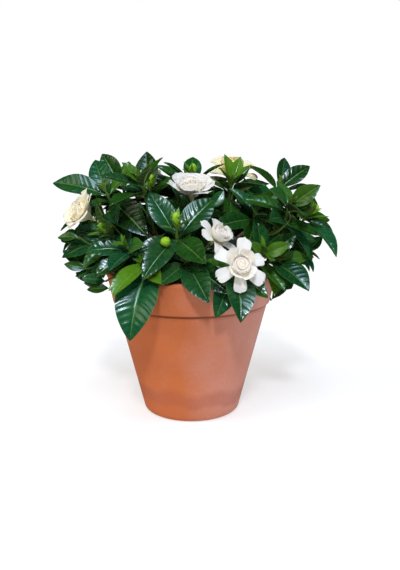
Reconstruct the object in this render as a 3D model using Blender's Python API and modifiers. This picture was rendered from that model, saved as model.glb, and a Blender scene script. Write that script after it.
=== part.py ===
"""Potted gardenia: a clay pot, potting soil, woody stems, leafy shoots, double white blooms and buds.

Metres, +Z up. The origin is the centre of the pot's foot, on the surface that it stands on.
Headings are degrees round the vertical, 0 along +X and 90 along +Y; rises are degrees above level.
The plant is laid out first, one shoot at a time, and each leaf is turned or shortened until it is
clear of every other node. Only then are the solids built.
"""

import math
import random
from dataclasses import dataclass, field

import bpy
import bmesh
from mathutils import Matrix, Vector
from mathutils.bvhtree import BVHTree

# Driving dimensions
POT_HEIGHT = 0.216
POT_TOP_RADIUS = 0.1255  # outside, at the lip
RIM_HEIGHT = 0.047
RIM_FOOT_RADIUS = 0.1170  # outside, at the lower edge of the rim band
NECK_RADIUS = 0.1130  # outside, just under the rim band
FOOT_RADIUS = 0.0700  # outside, where the wall would meet the ground
FOOT_ROUNDING = 0.011
WALL = 0.0095
RIM_WALL = 0.0125
FLOOR = 0.012
DRAIN_RADIUS = 0.012
POT_SIDES = 30
SEAT = 0.0003  # gap left between pieces that touch
SOIL_TOP = 0.194
SOIL_SIDES = 20
ROOT_DEPTH = 0.050
LARGE_LEAF = 0.068  # from this length up a leaf's outline has one more corner on each side
LEAF_THICK = 0.0009
PETAL_THICK = 0.0008
CLEARANCE = 0.00055  # kept round a blade, beyond half its thickness
HEART_RADIUS = 0.0080  # of the wrapped heart of a bloom
TUBE = 0.016  # a bloom's tube, from its calyx to the heart of the bloom

COLOURS = {
    "terracotta": (0.52, 0.20, 0.10, 1),
    "soil": (0.030, 0.020, 0.014, 1),
    "bark": (0.20, 0.15, 0.09, 1),
    "leaf": (0.018, 0.095, 0.025, 1),
    "bud": (0.20, 0.42, 0.04, 1),
    "white_petal": (0.90, 0.89, 0.84, 1),
    "cream_petal": (0.88, 0.72, 0.42, 1),
}
ROUGHNESS = {"leaf": 0.30, "terracotta": 0.88, "soil": 0.95}


# ---------------------------------------------------------------- directions and blades


def aim(heading, rise):
    """Unit vector with this heading and rise, in degrees."""
    turn, climb = math.radians(heading), math.radians(rise)
    return Vector((math.cos(turn) * math.cos(climb), math.sin(turn) * math.cos(climb), math.sin(climb)))


def heading_rise(direction):
    level = math.hypot(direction.x, direction.y)
    return math.degrees(math.atan2(direction.y, direction.x)), math.degrees(math.atan2(direction.z, level))


@dataclass
class Blade:
    """A leaf, petal or sepal: a midrib that bends evenly from root to tip, with a folded or cupped blade."""

    root: Vector
    chord: Vector  # unit vector from root to tip
    face: Vector  # the way the upper side looks, made square to the chord
    length: float
    width: float
    arch: float = 35.0  # degrees that the midrib bends by, root to tip, away from the upper side
    fold: float = 14.0  # degrees that each half rises from the midrib
    cup: float = 0.0  # rise of the margins, as a share of the half width
    wave: float = 0.0
    phase: float = 0.0
    age: float = 0.0  # 0 old and dark, 1 young and light
    shape: str = "leaf"

    def __post_init__(self):
        self.face = (self.face - self.chord * self.face.dot(self.chord)).normalized()
        self.side = self.face.cross(self.chord)


def leaf_stations(blade):
    return LEAF_STATIONS if blade.length > LARGE_LEAF else SHORT_LEAF_STATIONS


def half_width(shape, s):
    """Half width of a blade at s along it, as a share of its widest half width."""
    if shape == "leaf":
        blade = max(0.0, (s - 0.07) / 0.93)
        return max(0.055 * (1 - s), math.sin(math.pi * blade**0.92) ** 0.86 * (1 - 0.10 * blade**5))
    if shape == "petal":
        widening = 0.26 + 0.74 * math.sin(math.pi * 0.56 * s**0.9) ** 1.4
        return widening if s < 0.86 else 0.99 - 2.6 * (s - 0.84)
    return max(0.0, 1 - 0.55 * s) if s < 1 else 0.0


def blade_point(blade, s, t, lift=0.0):
    """The point of the blade at s from root to tip and t from its right margin, -1, to its left, 1."""
    bend = math.radians(blade.arch)
    if abs(bend) < 1e-4:
        along, rise, slope = blade.length * s, 0.0, 0.0
    else:
        slope = bend / 2 - bend * s
        along = blade.length * (math.sin(bend / 2) - math.sin(slope)) / bend
        rise = blade.length * (math.cos(slope) - math.cos(bend / 2)) / bend
    fold = math.radians(blade.fold)
    half = blade.width / 2 * half_width(blade.shape, s)
    ripple = blade.wave * blade.width * t * t * math.sin(7.0 * s + blade.phase + (1.3 if t > 0 else 0.0))
    raised = half * (abs(t) * math.sin(fold) + blade.cup * t * t) + ripple + lift
    along, rise = along - raised * math.sin(slope), rise + raised * math.cos(slope)
    return blade.root + blade.chord * along + blade.face * rise + blade.side * (half * t * math.cos(fold))


LEAF_STATIONS = ((0.0, 1), (0.24, 3), (0.52, 3), (0.79, 3), (1.0, 1))
SHORT_LEAF_STATIONS = ((0.0, 1), (0.30, 3), (0.68, 3), (1.0, 1))
PETAL_STATIONS = ((0.0, 1), (0.38, 3), (0.76, 3), (1.0, 2))
SHORT_PETAL_STATIONS = ((0.0, 1), (0.62, 3), (1.0, 2))
SEPAL_STATIONS = ((0.0, 1), (0.35, 2), (1.0, 1))
COLUMNS = {1: (0.0,), 2: (-1.0, 1.0), 3: (-1.0, 0.0, 1.0)}


def blade_sheet(blade, stations, lift=0.0):
    """(points, triangles) of the blade's open surface, alike for any lift, so that two lifts never cross."""
    points, rows = [], []
    for s, columns in stations:
        rows.append([len(points) + i for i in range(columns)])
        points += [blade_point(blade, s, t, lift) for t in COLUMNS[columns]]
    triangles = []
    for near, far in zip(rows, rows[1:]):
        i = j = 0
        while i < len(near) - 1 or j < len(far) - 1:
            near_next = COLUMNS[len(near)][i + 1] if i < len(near) - 1 else math.inf
            far_next = COLUMNS[len(far)][j + 1] if j < len(far) - 1 else math.inf
            if near_next < far_next or (near_next == far_next and i > j):
                triangles.append((near[i], far[j], near[i + 1]))
                i += 1
            else:
                triangles.append((near[i], far[j], far[j + 1]))
                j += 1
    return points, triangles


# ---------------------------------------------------------------- what a leaf has to stay clear of


class Obstacles:
    """Triangle trees of what stands already, each with its node's name, and the pot as a formula."""

    def __init__(self):
        self.placed = []
        self.views = []  # (start, radius) of the spaces kept open toward the front

    def add(self, node, points, triangles):
        centre = sum(points, Vector()) / len(points)
        reach = max((p - centre).length for p in points)
        self.placed.append((node, centre, reach, BVHTree.FromPolygons(points, triangles)))

    def blocked(self, points, triangles, node):
        """The name of a node in the way, other than this one, or nothing."""
        centre = sum(points, Vector()) / len(points)
        reach = max((p - centre).length for p in points)
        tree = BVHTree.FromPolygons(points, triangles)
        for other, middle, size, standing in self.placed:
            if other != node and (centre - middle).length < reach + size and tree.overlap(standing):
                return other
        return ""


def in_view(point, views):
    """True if the point stands in one of the spaces kept open toward the front."""
    for start, radius in views:
        ahead = (point - start).dot(FRONT)
        if 0 < ahead < OPEN_SPACE and (point - start - FRONT * ahead).length < radius:
            return True
    return False


def in_pot(point, spare):
    """True if the point is in the pot's wall or the soil, or nearer to them than spare."""
    radius = math.hypot(point.x, point.y)
    if point.z > POT_HEIGHT + spare:
        return False
    share = min(1.0, max(0.0, (point.z - POT_HEIGHT + RIM_HEIGHT) / RIM_HEIGHT))
    outside = RIM_FOOT_RADIUS + (POT_TOP_RADIUS - RIM_FOOT_RADIUS) * share
    inside = outside - RIM_WALL - spare
    return radius < outside + spare and not (point.z > SOIL_TOP + 0.004 + spare and radius < inside)


def skin(blade, stations):
    """Both faces of a blade, moved out by the clearance, as (points, triangles)."""
    away = LEAF_THICK / 2 + CLEARANCE
    upper, triangles = blade_sheet(blade, stations, away)
    lower, _ = blade_sheet(blade, stations, -away)
    count = len(upper)
    return upper + lower, triangles + [tuple(i + count for i in t) for t in triangles]


def in_the_way(blade, stations, node, obstacles, from_s=0.0):
    """What the blade would cross: the pot, an open view, another node, or nothing."""
    for k in range(1, 13):
        s = k / 12
        if s < from_s:
            continue
        for t in (-1, -0.5, 0, 0.5, 1):
            point = blade_point(blade, s, t)
            if in_pot(point, 0.0012):
                return "pot"
            if in_view(point, obstacles.views):
                return "view"
    return obstacles.blocked(*skin(blade, stations), node)


# ---------------------------------------------------------------- the plant's plan


@dataclass
class Shoot:
    """A leafy shoot. Leaves are (mm below the tip, heading, rise, length mm, width mm, age)."""

    name: str
    tip: tuple
    lean: tuple  # heading and rise of the stem at its tip
    leaves: list = field(default_factory=list)
    end: str = ""  # bud, bloom or nothing
    bloom_size: float = 0.036
    open_rise: float = 10.0  # of the outer petals from the bloom's own level, 0 wide open
    colour: str = "white_petal"
    turn: float = 0.0
    to_front: float = 0.9  # how far its leaves look to the front
    blades: list = field(default_factory=list)
    path: list = field(default_factory=list)
    line: list = field(default_factory=list)
    stem: int = 0


FRONT_SHOOTS = [
    Shoot("front", (-0.019, -0.080, 0.288), (-100, 74), [
        (16, 152, 58, 78, 34, 0.0), (17, 32, 48, 80, 40, 0.0), (20, 136, 40, 88, 36, 0.0),
        (21, 50, 34, 84, 36, 0.0), (18, -129, -34, 88, 36, 0.1), (20, -60, -16, 80, 37, 0.0),
        (24, -160, -10, 62, 28, 0.0),
    ], "bud"),
    Shoot("front_low", (-0.004, -0.096, 0.244), (-80, 30), [
        (6, -42, -24, 84, 36, 0.0), (9, -66, -30, 84, 40, 0.0), (10, -10, -2, 58, 27, 0.0),
        (12, -130, -22, 60, 28, 0.1), (16, 150, 10, 56, 26, 0.0),
    ]),
    Shoot("rim_left", (-0.062, -0.092, 0.240), (-120, 20), [
        (14, -112, -55, 118, 60, 0.0), (5, -126, -26, 78, 30, 0.8), (12, -150, -26, 68, 28, 0.8),
        (8, -62, -24, 60, 25, 0.7), (22, 176, -16, 62, 28, 0.0), (2, -84, 14, 42, 19, 0.6),
        (18, -20, -8, 56, 25, 0.1),
    ]),
    Shoot("left_high", (-0.124, 0.000, 0.328), (175, 62), [
        (5, 160, 10, 93, 38, 0.0), (9, 118, 44, 76, 34, 0.0), (14, -150, -8, 46, 22, 0.2),
        (6, 40, 40, 50, 24, 0.4), (12, -50, -26, 104, 44, 0.0), (24, -80, -24, 62, 30, 0.0),
    ]),
    Shoot("top_left", (-0.062, 0.036, 0.332), (-70, 76), [
        (17, 98, 62, 84, 42, 0.0), (14, 2, 28, 68, 29, 0.0), (14, 176, 40, 50, 23, 0.6),
        (20, 50, 26, 70, 32, 0.0), (16, -100, 4, 60, 29, 0.0), (24, -30, -14, 66, 30, 0.0),
    ], "bud"),
    Shoot("left_back", (-0.104, 0.040, 0.336), (130, 66), [
        (5, 135, 46, 70, 34, 0.0), (8, 84, 52, 58, 27, 0.4), (12, -56, -6, 58, 27, 0.0),
        (18, -165, 14, 62, 29, 0.0), (22, 20, 26, 58, 27, 0.1), (26, -100, -30, 66, 30, 0.0),
    ]),
    Shoot("left_low", (-0.116, -0.038, 0.273), (-160, 46), [
        (9, 172, -22, 84, 34, 0.0), (12, 158, 8, 66, 30, 0.0), (16, -148, -34, 66, 29, 0.1),
        (9, -100, 10, 52, 25, 0.2), (24, -120, -44, 62, 29, 0.1), (28, -70, -24, 58, 27, 0.0),
    ], "bud"),
    Shoot("bloom_right", (0.061, -0.122, 0.237), (-80, 22), [
        (18, -84, -50, 84, 42, 0.0), (20, -128, -40, 70, 34, 0.0), (22, -36, -28, 62, 30, 0.1),
        (16, 165, 6, 46, 22, 0.3),
    ], "bloom", 0.033, 6, "white_petal", 20.0),
    Shoot("bloom_middle", (0.024, -0.072, 0.260), (-40, 42), [
        (18, 60, 30, 60, 28, 0.0), (24, -150, 2, 52, 24, 0.0),
    ], "bloom", 0.030, 16, "white_petal", 60.0),
    Shoot("left_middle", (-0.088, -0.072, 0.258), (-130, 44), [
        (5, -176, 14, 58, 27, 0.0), (6, -62, 16, 52, 25, 0.3), (10, -112, -14, 64, 30, 0.0),
        (12, 120, 26, 60, 28, 0.0), (15, -28, -24, 60, 28, 0.0), (17, -152, -32, 64, 30, 0.0),
    ]),
    Shoot("right_middle", (0.094, -0.008, 0.300), (-60, 64), [
        (4, 148, 40, 56, 27, 0.1), (4, 30, 40, 54, 26, 0.2), (6, -92, 8, 64, 31, 0.0),
        (12, -146, -6, 70, 32, 0.0), (12, -34, -12, 64, 30, 0.0), (16, 88, 24, 66, 31, 0.0),
        (22, -104, -34, 66, 31, 0.0),
    ]),
    Shoot("top_middle", (0.002, 0.070, 0.346), (90, 80), [
        (12, -152, 36, 60, 28, 0.1), (12, -28, 32, 62, 29, 0.2), (14, 92, 40, 66, 31, 0.0),
        (16, 170, 14, 68, 31, 0.0), (15, 12, 14, 66, 30, 0.0), (20, -60, -4, 62, 29, 0.0),
    ], "bud"),
    Shoot("right_low", (0.100, -0.064, 0.248), (-60, 66), [
        (8, 118, 74, 60, 28, 0.0), (3, -130, 36, 38, 18, 0.6), (3, -20, 26, 44, 21, 0.5),
        (4, -78, 0, 42, 23, 0.4), (9, 6, 36, 62, 28, 0.0), (14, 60, 42, 54, 25, 0.0),
        (20, -50, -30, 58, 28, 0.2),
    ]),
    Shoot("rim_right", (0.120, -0.046, 0.234), (-25, 8), [
        (8, -46, -32, 78, 44, 0.0), (4, 8, 6, 54, 23, 0.5), (12, -80, -34, 56, 27, 0.7),
        (14, 24, -26, 60, 22, 0.0), (16, 70, -4, 52, 25, 0.0), (20, -110, -26, 52, 25, 0.0),
    ]),
    Shoot("right_high", (0.140, -0.026, 0.312), (-30, 70), [
        (3, -10, 36, 54, 29, 0.3), (3, 110, 42, 52, 27, 0.3), (4, -130, 32, 56, 29, 0.2),
        (10, 50, 20, 64, 31, 0.0), (10, 170, 14, 66, 31, 0.0), (11, -76, 2, 66, 33, 0.0),
        (30, -42, -44, 68, 20, 0.0), (24, -120, -26, 66, 31, 0.0),
    ]),
    Shoot("right_far", (0.172, 0.008, 0.294), (-10, 46), [
        (13, -56, -30, 88, 35, 0.0), (9, 62, 36, 52, 27, 0.0), (9, 10, 20, 46, 25, 0.1),
        (10, -24, -6, 48, 25, 0.0), (16, 120, 24, 58, 28, 0.0), (9, -110, 12, 44, 21, 0.4),
    ], "bud"),
    Shoot("right_back", (0.134, 0.056, 0.334), (50, 68), [
        (4, 74, 46, 62, 27, 0.0), (6, 24, 32, 64, 31, 0.0), (8, 140, 32, 68, 31, 0.1),
        (14, -30, 12, 58, 28, 0.0), (16, -140, 4, 66, 31, 0.0),
    ]),
    Shoot("top_right", (0.060, 0.044, 0.336), (-60, 74), [
        (3, 150, 54, 50, 22, 0.8), (3, 50, 56, 50, 22, 0.8), (4, -30, 46, 48, 21, 0.7),
        (5, -120, 40, 50, 22, 0.7), (11, -45, 10, 72, 33, 0.1), (12, -160, 20, 70, 32, 0.2),
        (16, 20, 20, 68, 31, 0.0), (22, -90, -22, 66, 31, 0.0),
    ]),
    Shoot("bloom_top", (0.000, 0.004, 0.308), (-80, 66), [
        (16, 176, 0, 60, 28, 0.0), (18, 14, -4, 64, 30, 0.0), (22, -60, -14, 64, 30, 0.0),
    ], "bloom", 0.037, 42, "white_petal", 0.0),
    Shoot("bloom_left", (-0.136, -0.012, 0.286), (-150, 32), [
        (16, 150, -8, 60, 28, 0.0), (20, -120, -30, 58, 28, 0.0),
    ], "bloom", 0.036, 40, "cream_petal", 40.0),
    Shoot("bloom_back", (0.062, 0.096, 0.334), (-80, 68), [
        (16, 110, 14, 66, 30, 0.0), (18, 20, 8, 66, 30, 0.0), (22, 160, 4, 60, 28, 0.0),
    ], "bloom", 0.038, 16, "cream_petal", 15.0),
    Shoot("bloom_rear", (-0.062, 0.118, 0.314), (112, 42), [
        (16, 150, 0, 66, 30, 0.0), (18, 60, -6, 66, 30, 0.0), (22, -150, 10, 60, 28, 0.0),
    ], "bloom", 0.036, 8, "white_petal", 30.0),
    Shoot("bloom_rear_low", (0.104, 0.112, 0.258), (70, 20), [
        (16, 30, -14, 66, 30, 0.0), (18, 110, -18, 66, 30, 0.0),
    ], "bloom", 0.034, 22, "white_petal", 50.0),
]

CROWN_HEART = Vector((0, 0, 0.231))
FRONT = aim(-90, 14)
FRONT_HALF = 0.04  # blooms nearer the front than this Y show their faces to it
OPEN_SPACE = 0.075  # kept clear of leaves in front of each bloom that faces the front

# Rings of ordinary shoots that fill the crown where no shoot above stands:
# radius, height, count, first heading, rise of the stem
CROWN_RINGS = (
    (0.020, 0.348, 2, 100.0, 84.0),
    (0.086, 0.342, 6, 40.0, 74.0),
    (0.150, 0.304, 10, 12.0, 50.0),
    (0.126, 0.242, 9, 30.0, 30.0),
)
FRONT_LIMIT = -0.045  # the shoots nearer the front than this Y are all listed by hand
CROWN_DEPTH = 0.76  # of the crown front to back, against its width
SHOOT_SPACING = 0.054
# Whorls of an ordinary shoot, from its tip down:
# mm below the tip, leaves, angle from the stem, length mm, width mm, age
WHORLS = (
    (3, 2, 34, 44, 21, 0.55),
    (7, 3, 62, 66, 31, 0.12),
    (18, 3, 84, 74, 34, 0.0),
)
BUD_EVERY = 4
BUD_ROOM = 10  # mm that the leaves stand lower on a shoot that ends in a bud
MAIN_STEMS = 6
MAIN_RING = 0.036
MAIN_FORK_HEIGHT = 0.218


def crown_shoots(rng):
    """Ordinary shoots on rings over the crown, where they have room beside the shoots listed by hand."""
    made = []
    for ring, (radius, height, count, first, rise) in enumerate(CROWN_RINGS):
        for k in range(count):
            heading = first + 360 / count * k + rng.uniform(-6, 6)
            place = aim(heading, 0) * (radius + rng.uniform(-0.004, 0.004))
            place.y *= CROWN_DEPTH
            tip = Vector((place.x, place.y, height + rng.uniform(-0.006, 0.006)))
            standing = [Vector(s.tip) for s in FRONT_SHOOTS + made]
            if tip.y < FRONT_LIMIT or min((tip - other).length for other in standing) < SHOOT_SPACING:
                continue
            shoot = Shoot(f"crown_{ring}_{k}", tuple(tip), (heading, rise))
            shoot.to_front = 0.0
            shoot.end = "bud" if len(made) % BUD_EVERY == 1 else ""
            shoot.leaves = whorled_leaves(shoot, rng)
            made.append(shoot)
    return made


def whorled_leaves(shoot, rng):
    """Leaves in whorls round the stem's own direction, each whorl turned from the one above."""
    stem = aim(*shoot.lean)
    across = stem.cross(Vector((0, 0, 1))).normalized()
    other = stem.cross(across)
    leaves = []
    turn = rng.uniform(0, 360)
    room = BUD_ROOM if shoot.end == "bud" else 0
    for down, count, spread, length, width, age in WHORLS:
        for k in range(count):
            angle = math.radians(turn + 360 / count * k + rng.uniform(-9, 9))
            open_angle = math.radians(spread + rng.uniform(-8, 8))
            round_stem = across * math.cos(angle) + other * math.sin(angle)
            heading, rise = heading_rise(stem * math.cos(open_angle) + round_stem * math.sin(open_angle))
            rise = max(-46.0, min(68.0, rise))
            size = rng.uniform(0.88, 1.14)
            leaves.append((down + room + 2 * k, heading, rise, length * size, width * size, age))
        turn += 180 / count + rng.uniform(-10, 10)
    return leaves


def stem_path(shoot, foot, sideways, raised):
    """Points from the fork to the shoot's tip, on a curve that arrives along the shoot's lean."""
    tip = Vector(shoot.tip)
    reach = (tip - foot).length
    bend = tip - aim(*shoot.lean) * (0.42 * reach)
    swing = Vector((-foot.y, foot.x, 0)).normalized() * sideways if foot.xy.length > 1e-6 else Vector()
    rise = foot + Vector((foot.x, foot.y, 0)) * 0.2 + Vector((0, 0, 0.30 * reach + raised)) + swing
    points = []
    for k in range(9):
        t = k / 8
        a, b = foot.lerp(rise, t), rise.lerp(bend, t)
        c = bend.lerp(tip, t)
        points.append(a.lerp(b, t).lerp(b.lerp(c, t), t))
    return points


def tube_skin(points, radius, sides=6):
    """A plain tube round a line of points, as (points, triangles), for the clearance tests."""
    ring_points, triangles = [], []
    for i, p in enumerate(points):
        ahead = (points[min(i + 1, len(points) - 1)] - points[max(i - 1, 0)]).normalized()
        u = ahead.orthogonal().normalized()
        v = ahead.cross(u)
        for k in range(sides):
            turn = k * math.tau / sides
            ring_points.append(p + (u * math.cos(turn) + v * math.sin(turn)) * radius)
    for i in range(len(points) - 1):
        for k in range(sides):
            a, b = i * sides + k, i * sides + (k + 1) % sides
            triangles += [(a, b, b + sides), (a, b + sides, a + sides)]
    return ring_points, triangles


def main_stem_points(k):
    """Axis of woody stem k, from its root in the soil to its fork. The last one stands in the middle."""
    if k == MAIN_STEMS:
        foot, lean = Vector((0.002, 0.004, 0)), Vector()
    else:
        foot = aim(30 + 360 / MAIN_STEMS * k, 0) * MAIN_RING
        lean = foot * 0.30
    low, high = SOIL_TOP - ROOT_DEPTH, MAIN_FORK_HEIGHT
    return [foot + Vector((0, 0, low)), foot + Vector((0, 0, SOIL_TOP)), foot + lean + Vector((0, 0, high))]


def nearest_main_stem(shoot):
    tip = Vector(shoot.tip)
    level = tip.xy.length
    if level < 0.062:
        return MAIN_STEMS
    heading = math.degrees(math.atan2(tip.y, tip.x))
    return round((heading - 30) / (360 / MAIN_STEMS)) % MAIN_STEMS


def green_line(shoot):
    """The green stem's points: it starts clear of the woody end's face, and ends along the shoot's lean."""
    wood_end, tip = shoot.path[4], Vector(shoot.tip)
    middle = tip - aim(*shoot.lean) * (0.45 * (tip - wood_end).length)
    ahead, before = (middle - wood_end).normalized(), (wood_end - shoot.path[2]).normalized()
    return [wood_end + ahead * (SEAT + 0.0034 * ahead.cross(before).length), middle, tip]


# Sideways swing and extra height, in metres, of a stem's path, the smallest first
STEM_TRIES = sorted(
    [(side / 1000, up / 1000)
     for up in (0, 12, -12, 24, -22)
     for side in (0, 12, -12, 24, -24, 38, -38, 54, -54)],
    key=lambda t: abs(t[0]) + abs(t[1]),
)


def lay_stems(shoots, obstacles):
    """Gives each shoot a path from its main stem, clear of the branches of the other main stems."""
    for k in range(MAIN_STEMS + 1):
        obstacles.add(f"wood_{k}", *tube_skin(main_stem_points(k), 0.0062))
    for shoot in shoots:
        shoot.stem = nearest_main_stem(shoot)
        fork = main_stem_points(shoot.stem)[-1] - Vector((0, 0, 0.004))
        for sideways, raised in STEM_TRIES:
            path = stem_path(shoot, fork, sideways, raised)
            inside = any(in_pot(p, 0.005) for p in path[1:])
            woody = obstacles.blocked(*tube_skin(path[:5], 0.0046), f"wood_{shoot.stem}")
            green = obstacles.blocked(*tube_skin(path[4:8], 0.0034), shoot.name)
            if not inside and not woody and not green:
                break
        else:
            print(f"{shoot.name} found no clear path for its stem")
        shoot.path = path
        shoot.line = green_line(shoot)
        obstacles.add(f"wood_{shoot.stem}", *tube_skin(path[:5:2], 0.0044))
        obstacles.add(shoot.name, *tube_skin(shoot.line, 0.0030))


def point_below_tip(line, distance):
    """The point that lies this far down the green stem from its tip."""
    for near, far in zip(reversed(line), reversed(line[:-1])):
        step = (far - near).length
        if distance <= step:
            return near.lerp(far, distance / step)
        distance -= step
    return line[0].lerp(line[1], 0.2)


# Turn and lift in degrees, and share of its size, that a leaf can take to stay clear, the smallest change first
LEAF_TRIES = sorted(
    [(turn, lift, size)
     for turn in (0, 7, -7, 15, -15, 24, -24, 34, -34)
     for lift in (0, 7, -7, 15, -15, 24, -24, 34)
     for size in (1.0, 0.88, 0.76)],
    key=lambda t: abs(t[0]) / 10 + abs(t[1]) / 10 + (1 - t[2]) * 9,
)


def leaf_face(middle, toward_front):
    """The way a leaf's upper side looks: out of the crown and up, and for the shoots in front, to the front."""
    outward = (middle - CROWN_HEART).normalized()
    return outward + Vector((0, 0, 0.5)) + FRONT * toward_front


def lay_leaves(shoots, obstacles):
    """Turns, lifts or shortens each leaf until it is clear, and drops one that finds no room."""
    for shoot in shoots:
        rng = random.Random(shoot.name + " leaves")
        for down, heading, rise, length, width, age in shoot.leaves:
            root = point_below_tip(shoot.line, down / 1000) + aim(heading, 0) * 0.0012
            arch = rng.uniform(16, 34) - 10 * age + max(0, -20 - rise) * 1.2
            fold = rng.uniform(12, 22) + 6 * age
            tilt = Vector((rng.uniform(-0.2, 0.2), rng.uniform(-0.2, 0.2), 0))
            wave, phase = rng.uniform(0.010, 0.026), rng.uniform(0, 6.28)
            first_crossed = ""
            for turn, lift, size in LEAF_TRIES:
                chord = aim(heading + turn, rise + lift)
                face = leaf_face(root + chord * length / 2000, shoot.to_front) + tilt
                long, wide = length * size / 1000, width * size / 1000
                blade = Blade(root, chord, face, long, wide, arch, fold, 0.0, wave, phase, age)
                crossed = in_the_way(blade, leaf_stations(blade), shoot.name, obstacles, 0.1)
                first_crossed = first_crossed or crossed
                if not crossed:
                    shoot.blades.append(blade)
                    obstacles.add(shoot.name, *skin(blade, leaf_stations(blade)))
                    break
            else:
                print(f"{shoot.name} has no room for its leaf at {heading:.0f}, {rise:.0f}: {first_crossed}")


# ---------------------------------------------------------------- blooms and buds


def facing(direction, turn):
    """Axes of a bloom or bud: its own +Z along the direction, turned about it."""
    return (direction.to_track_quat("Z", "Y").to_matrix()) @ Matrix.Rotation(math.radians(turn), 3, "Z")


# Whorls of a bloom, outside in:
# petals, rise above the outer ones, length and width as shares of the bloom's size, arch, cup, first turn
PETAL_WHORLS = (
    (6, 0, 1.00, 0.46, 34, 0.08, 0.0),
    (4, 44, 0.72, 0.56, -38, 0.30, 28.0),
)
MOST_UPRIGHT = 64  # degrees that a petal may rise above the bloom's own level


def bloom_petals(shoot, rng):
    """Blades of a double bloom, from its spreading outer petals to its wrapped heart."""
    stem = aim(*shoot.lean)
    heart = Vector(shoot.tip) + stem * (SEAT + TUBE)
    frame = facing(stem, shoot.turn)
    petals = []
    broad = 1 + shoot.open_rise / 200  # the petals of a bloom that stays a cup are broader
    for row, (count, rise, length, width, arch, cup, first) in enumerate(PETAL_WHORLS):
        for k in range(count):
            size = shoot.bloom_size * rng.uniform(0.90, 1.08)
            heading = first + 360 / count * k + rng.uniform(-8, 8)
            chord = frame @ aim(heading, min(shoot.open_rise + rise, MOST_UPRIGHT) + rng.uniform(-9, 7))
            face = stem - frame @ aim(heading, 0) * 0.9 + frame @ aim(heading + 90, 0) * rng.uniform(-0.2, 0.2)
            petals.append(Blade(
                heart + stem * (0.0022 * row) + frame @ aim(heading, 0) * HEART_RADIUS * 0.55, chord, face,
                size * length, size * width * broad, arch + rng.uniform(-8, 8), 0.0, cup,
                0.02 if row == 0 else 0.0,
                rng.uniform(0, 6.28), 0.0, "petal"))
    return heart, frame, petals


SEPALS = 5
SEPAL_RISE = 64  # degrees above the bud's own level
SEPAL_LENGTH = 0.015
SEPAL_WIDTH = 0.0032
SEPAL_HEIGHT = 0.004  # of the sepals' roots above the bud's foot


def sepals(place, frame, length, spread, rng):
    """Long narrow sepals that stand round a bud or under a bloom."""
    made = []
    for k in range(SEPALS):
        heading = 360 / SEPALS * k + rng.uniform(-8, 8)
        outward = frame @ aim(heading, 0)
        chord = frame @ aim(heading, spread + rng.uniform(-8, 8))
        face = frame @ Vector((0, 0, 1)) - outward
        size = length * rng.uniform(0.85, 1.15)
        arch = rng.uniform(10, 40)
        made.append(Blade(place + outward * 0.0016, chord, face, size, SEPAL_WIDTH, arch, shape="sepal"))
    return made


BUD_PROFILE = ((0.0021, 0.0), (0.0034, 0.004), (0.0056, 0.009), (0.0050, 0.016), (0.0022, 0.021))


# ---------------------------------------------------------------- solids


def fresh_scene():
    for obj in list(bpy.data.objects):
        bpy.data.objects.remove(obj)


def material(name):
    made = bpy.data.materials.get(name)
    if made is None:
        made = bpy.data.materials.new(name)
        made.use_nodes = True
        shader = made.node_tree.nodes["Principled BSDF"]
        shader.inputs["Base Color"].default_value = COLOURS[name]
        shader.inputs["Roughness"].default_value = ROUGHNESS.get(name, 0.55)
        shader.inputs["Metallic"].default_value = 0.0
        made.diffuse_color = COLOURS[name]
    return made


def collection(name):
    made = bpy.data.collections.get(name)
    if made is None:
        made = bpy.data.collections.new(name)
        bpy.context.scene.collection.children.link(made)
    return made


def mesh_object(name, points, faces, material_name, group):
    mesh = bpy.data.meshes.new(name)
    mesh.from_pydata([tuple(p) for p in points], [], faces)
    mesh.materials.append(material(material_name))
    obj = bpy.data.objects.new(name, mesh)
    collection(group).objects.link(obj)
    return obj


def evaluated_mesh(obj):
    """The object's mesh with its modifiers applied and a curve's caps welded."""
    bpy.context.view_layer.update()
    graph = bpy.context.evaluated_depsgraph_get()
    mesh = bpy.data.meshes.new_from_object(obj.evaluated_get(graph), depsgraph=graph)
    shape = bmesh.new()
    shape.from_mesh(mesh)
    bmesh.ops.remove_doubles(shape, verts=shape.verts, dist=1e-6)
    bmesh.ops.recalc_face_normals(shape, faces=shape.faces)
    shape.to_mesh(mesh)
    shape.free()
    return mesh


def turned(name, profile, sides, material_name, group):
    """A body turned from a closed (radius, height) profile by a Screw modifier."""
    mesh = bpy.data.meshes.new(name)
    count = len(profile)
    closed = all(r > 1e-6 for r, _ in profile)
    edges = [(i, i + 1) for i in range(count - 1)] + ([(count - 1, 0)] if closed else [])
    mesh.from_pydata([(r, 0, z) for r, z in profile], edges, [])
    mesh.materials.append(material(material_name))
    obj = bpy.data.objects.new(name, mesh)
    collection(group).objects.link(obj)
    screw = obj.modifiers.new("Turn", "SCREW")
    screw.steps = screw.render_steps = sides
    screw.use_merge_vertices = True
    screw.merge_threshold = 1e-5
    screw.use_smooth_shade = False
    return obj


def tube(name, points, radii, sides, material_name, group):
    """A closed tube along points, with a radius at each: a bevelled curve with filled caps, made a mesh."""
    curve = bpy.data.curves.new(name, "CURVE")
    curve.dimensions = "3D"
    curve.bevel_depth = 1.0
    curve.bevel_resolution = sides // 2 - 2
    curve.use_fill_caps = True
    spline = curve.splines.new("POLY")
    spline.points.add(len(points) - 1)
    for knot, p, radius in zip(spline.points, points, radii):
        knot.co = (p.x, p.y, p.z, 1)
        knot.radius = radius
    guide = bpy.data.objects.new(name + "_curve", curve)
    collection(group).objects.link(guide)
    mesh = evaluated_mesh(guide)
    bpy.data.objects.remove(guide)
    mesh.name = name
    mesh.materials.clear()
    mesh.materials.append(material(material_name))
    obj = bpy.data.objects.new(name, mesh)
    collection(group).objects.link(obj)
    return obj


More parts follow.
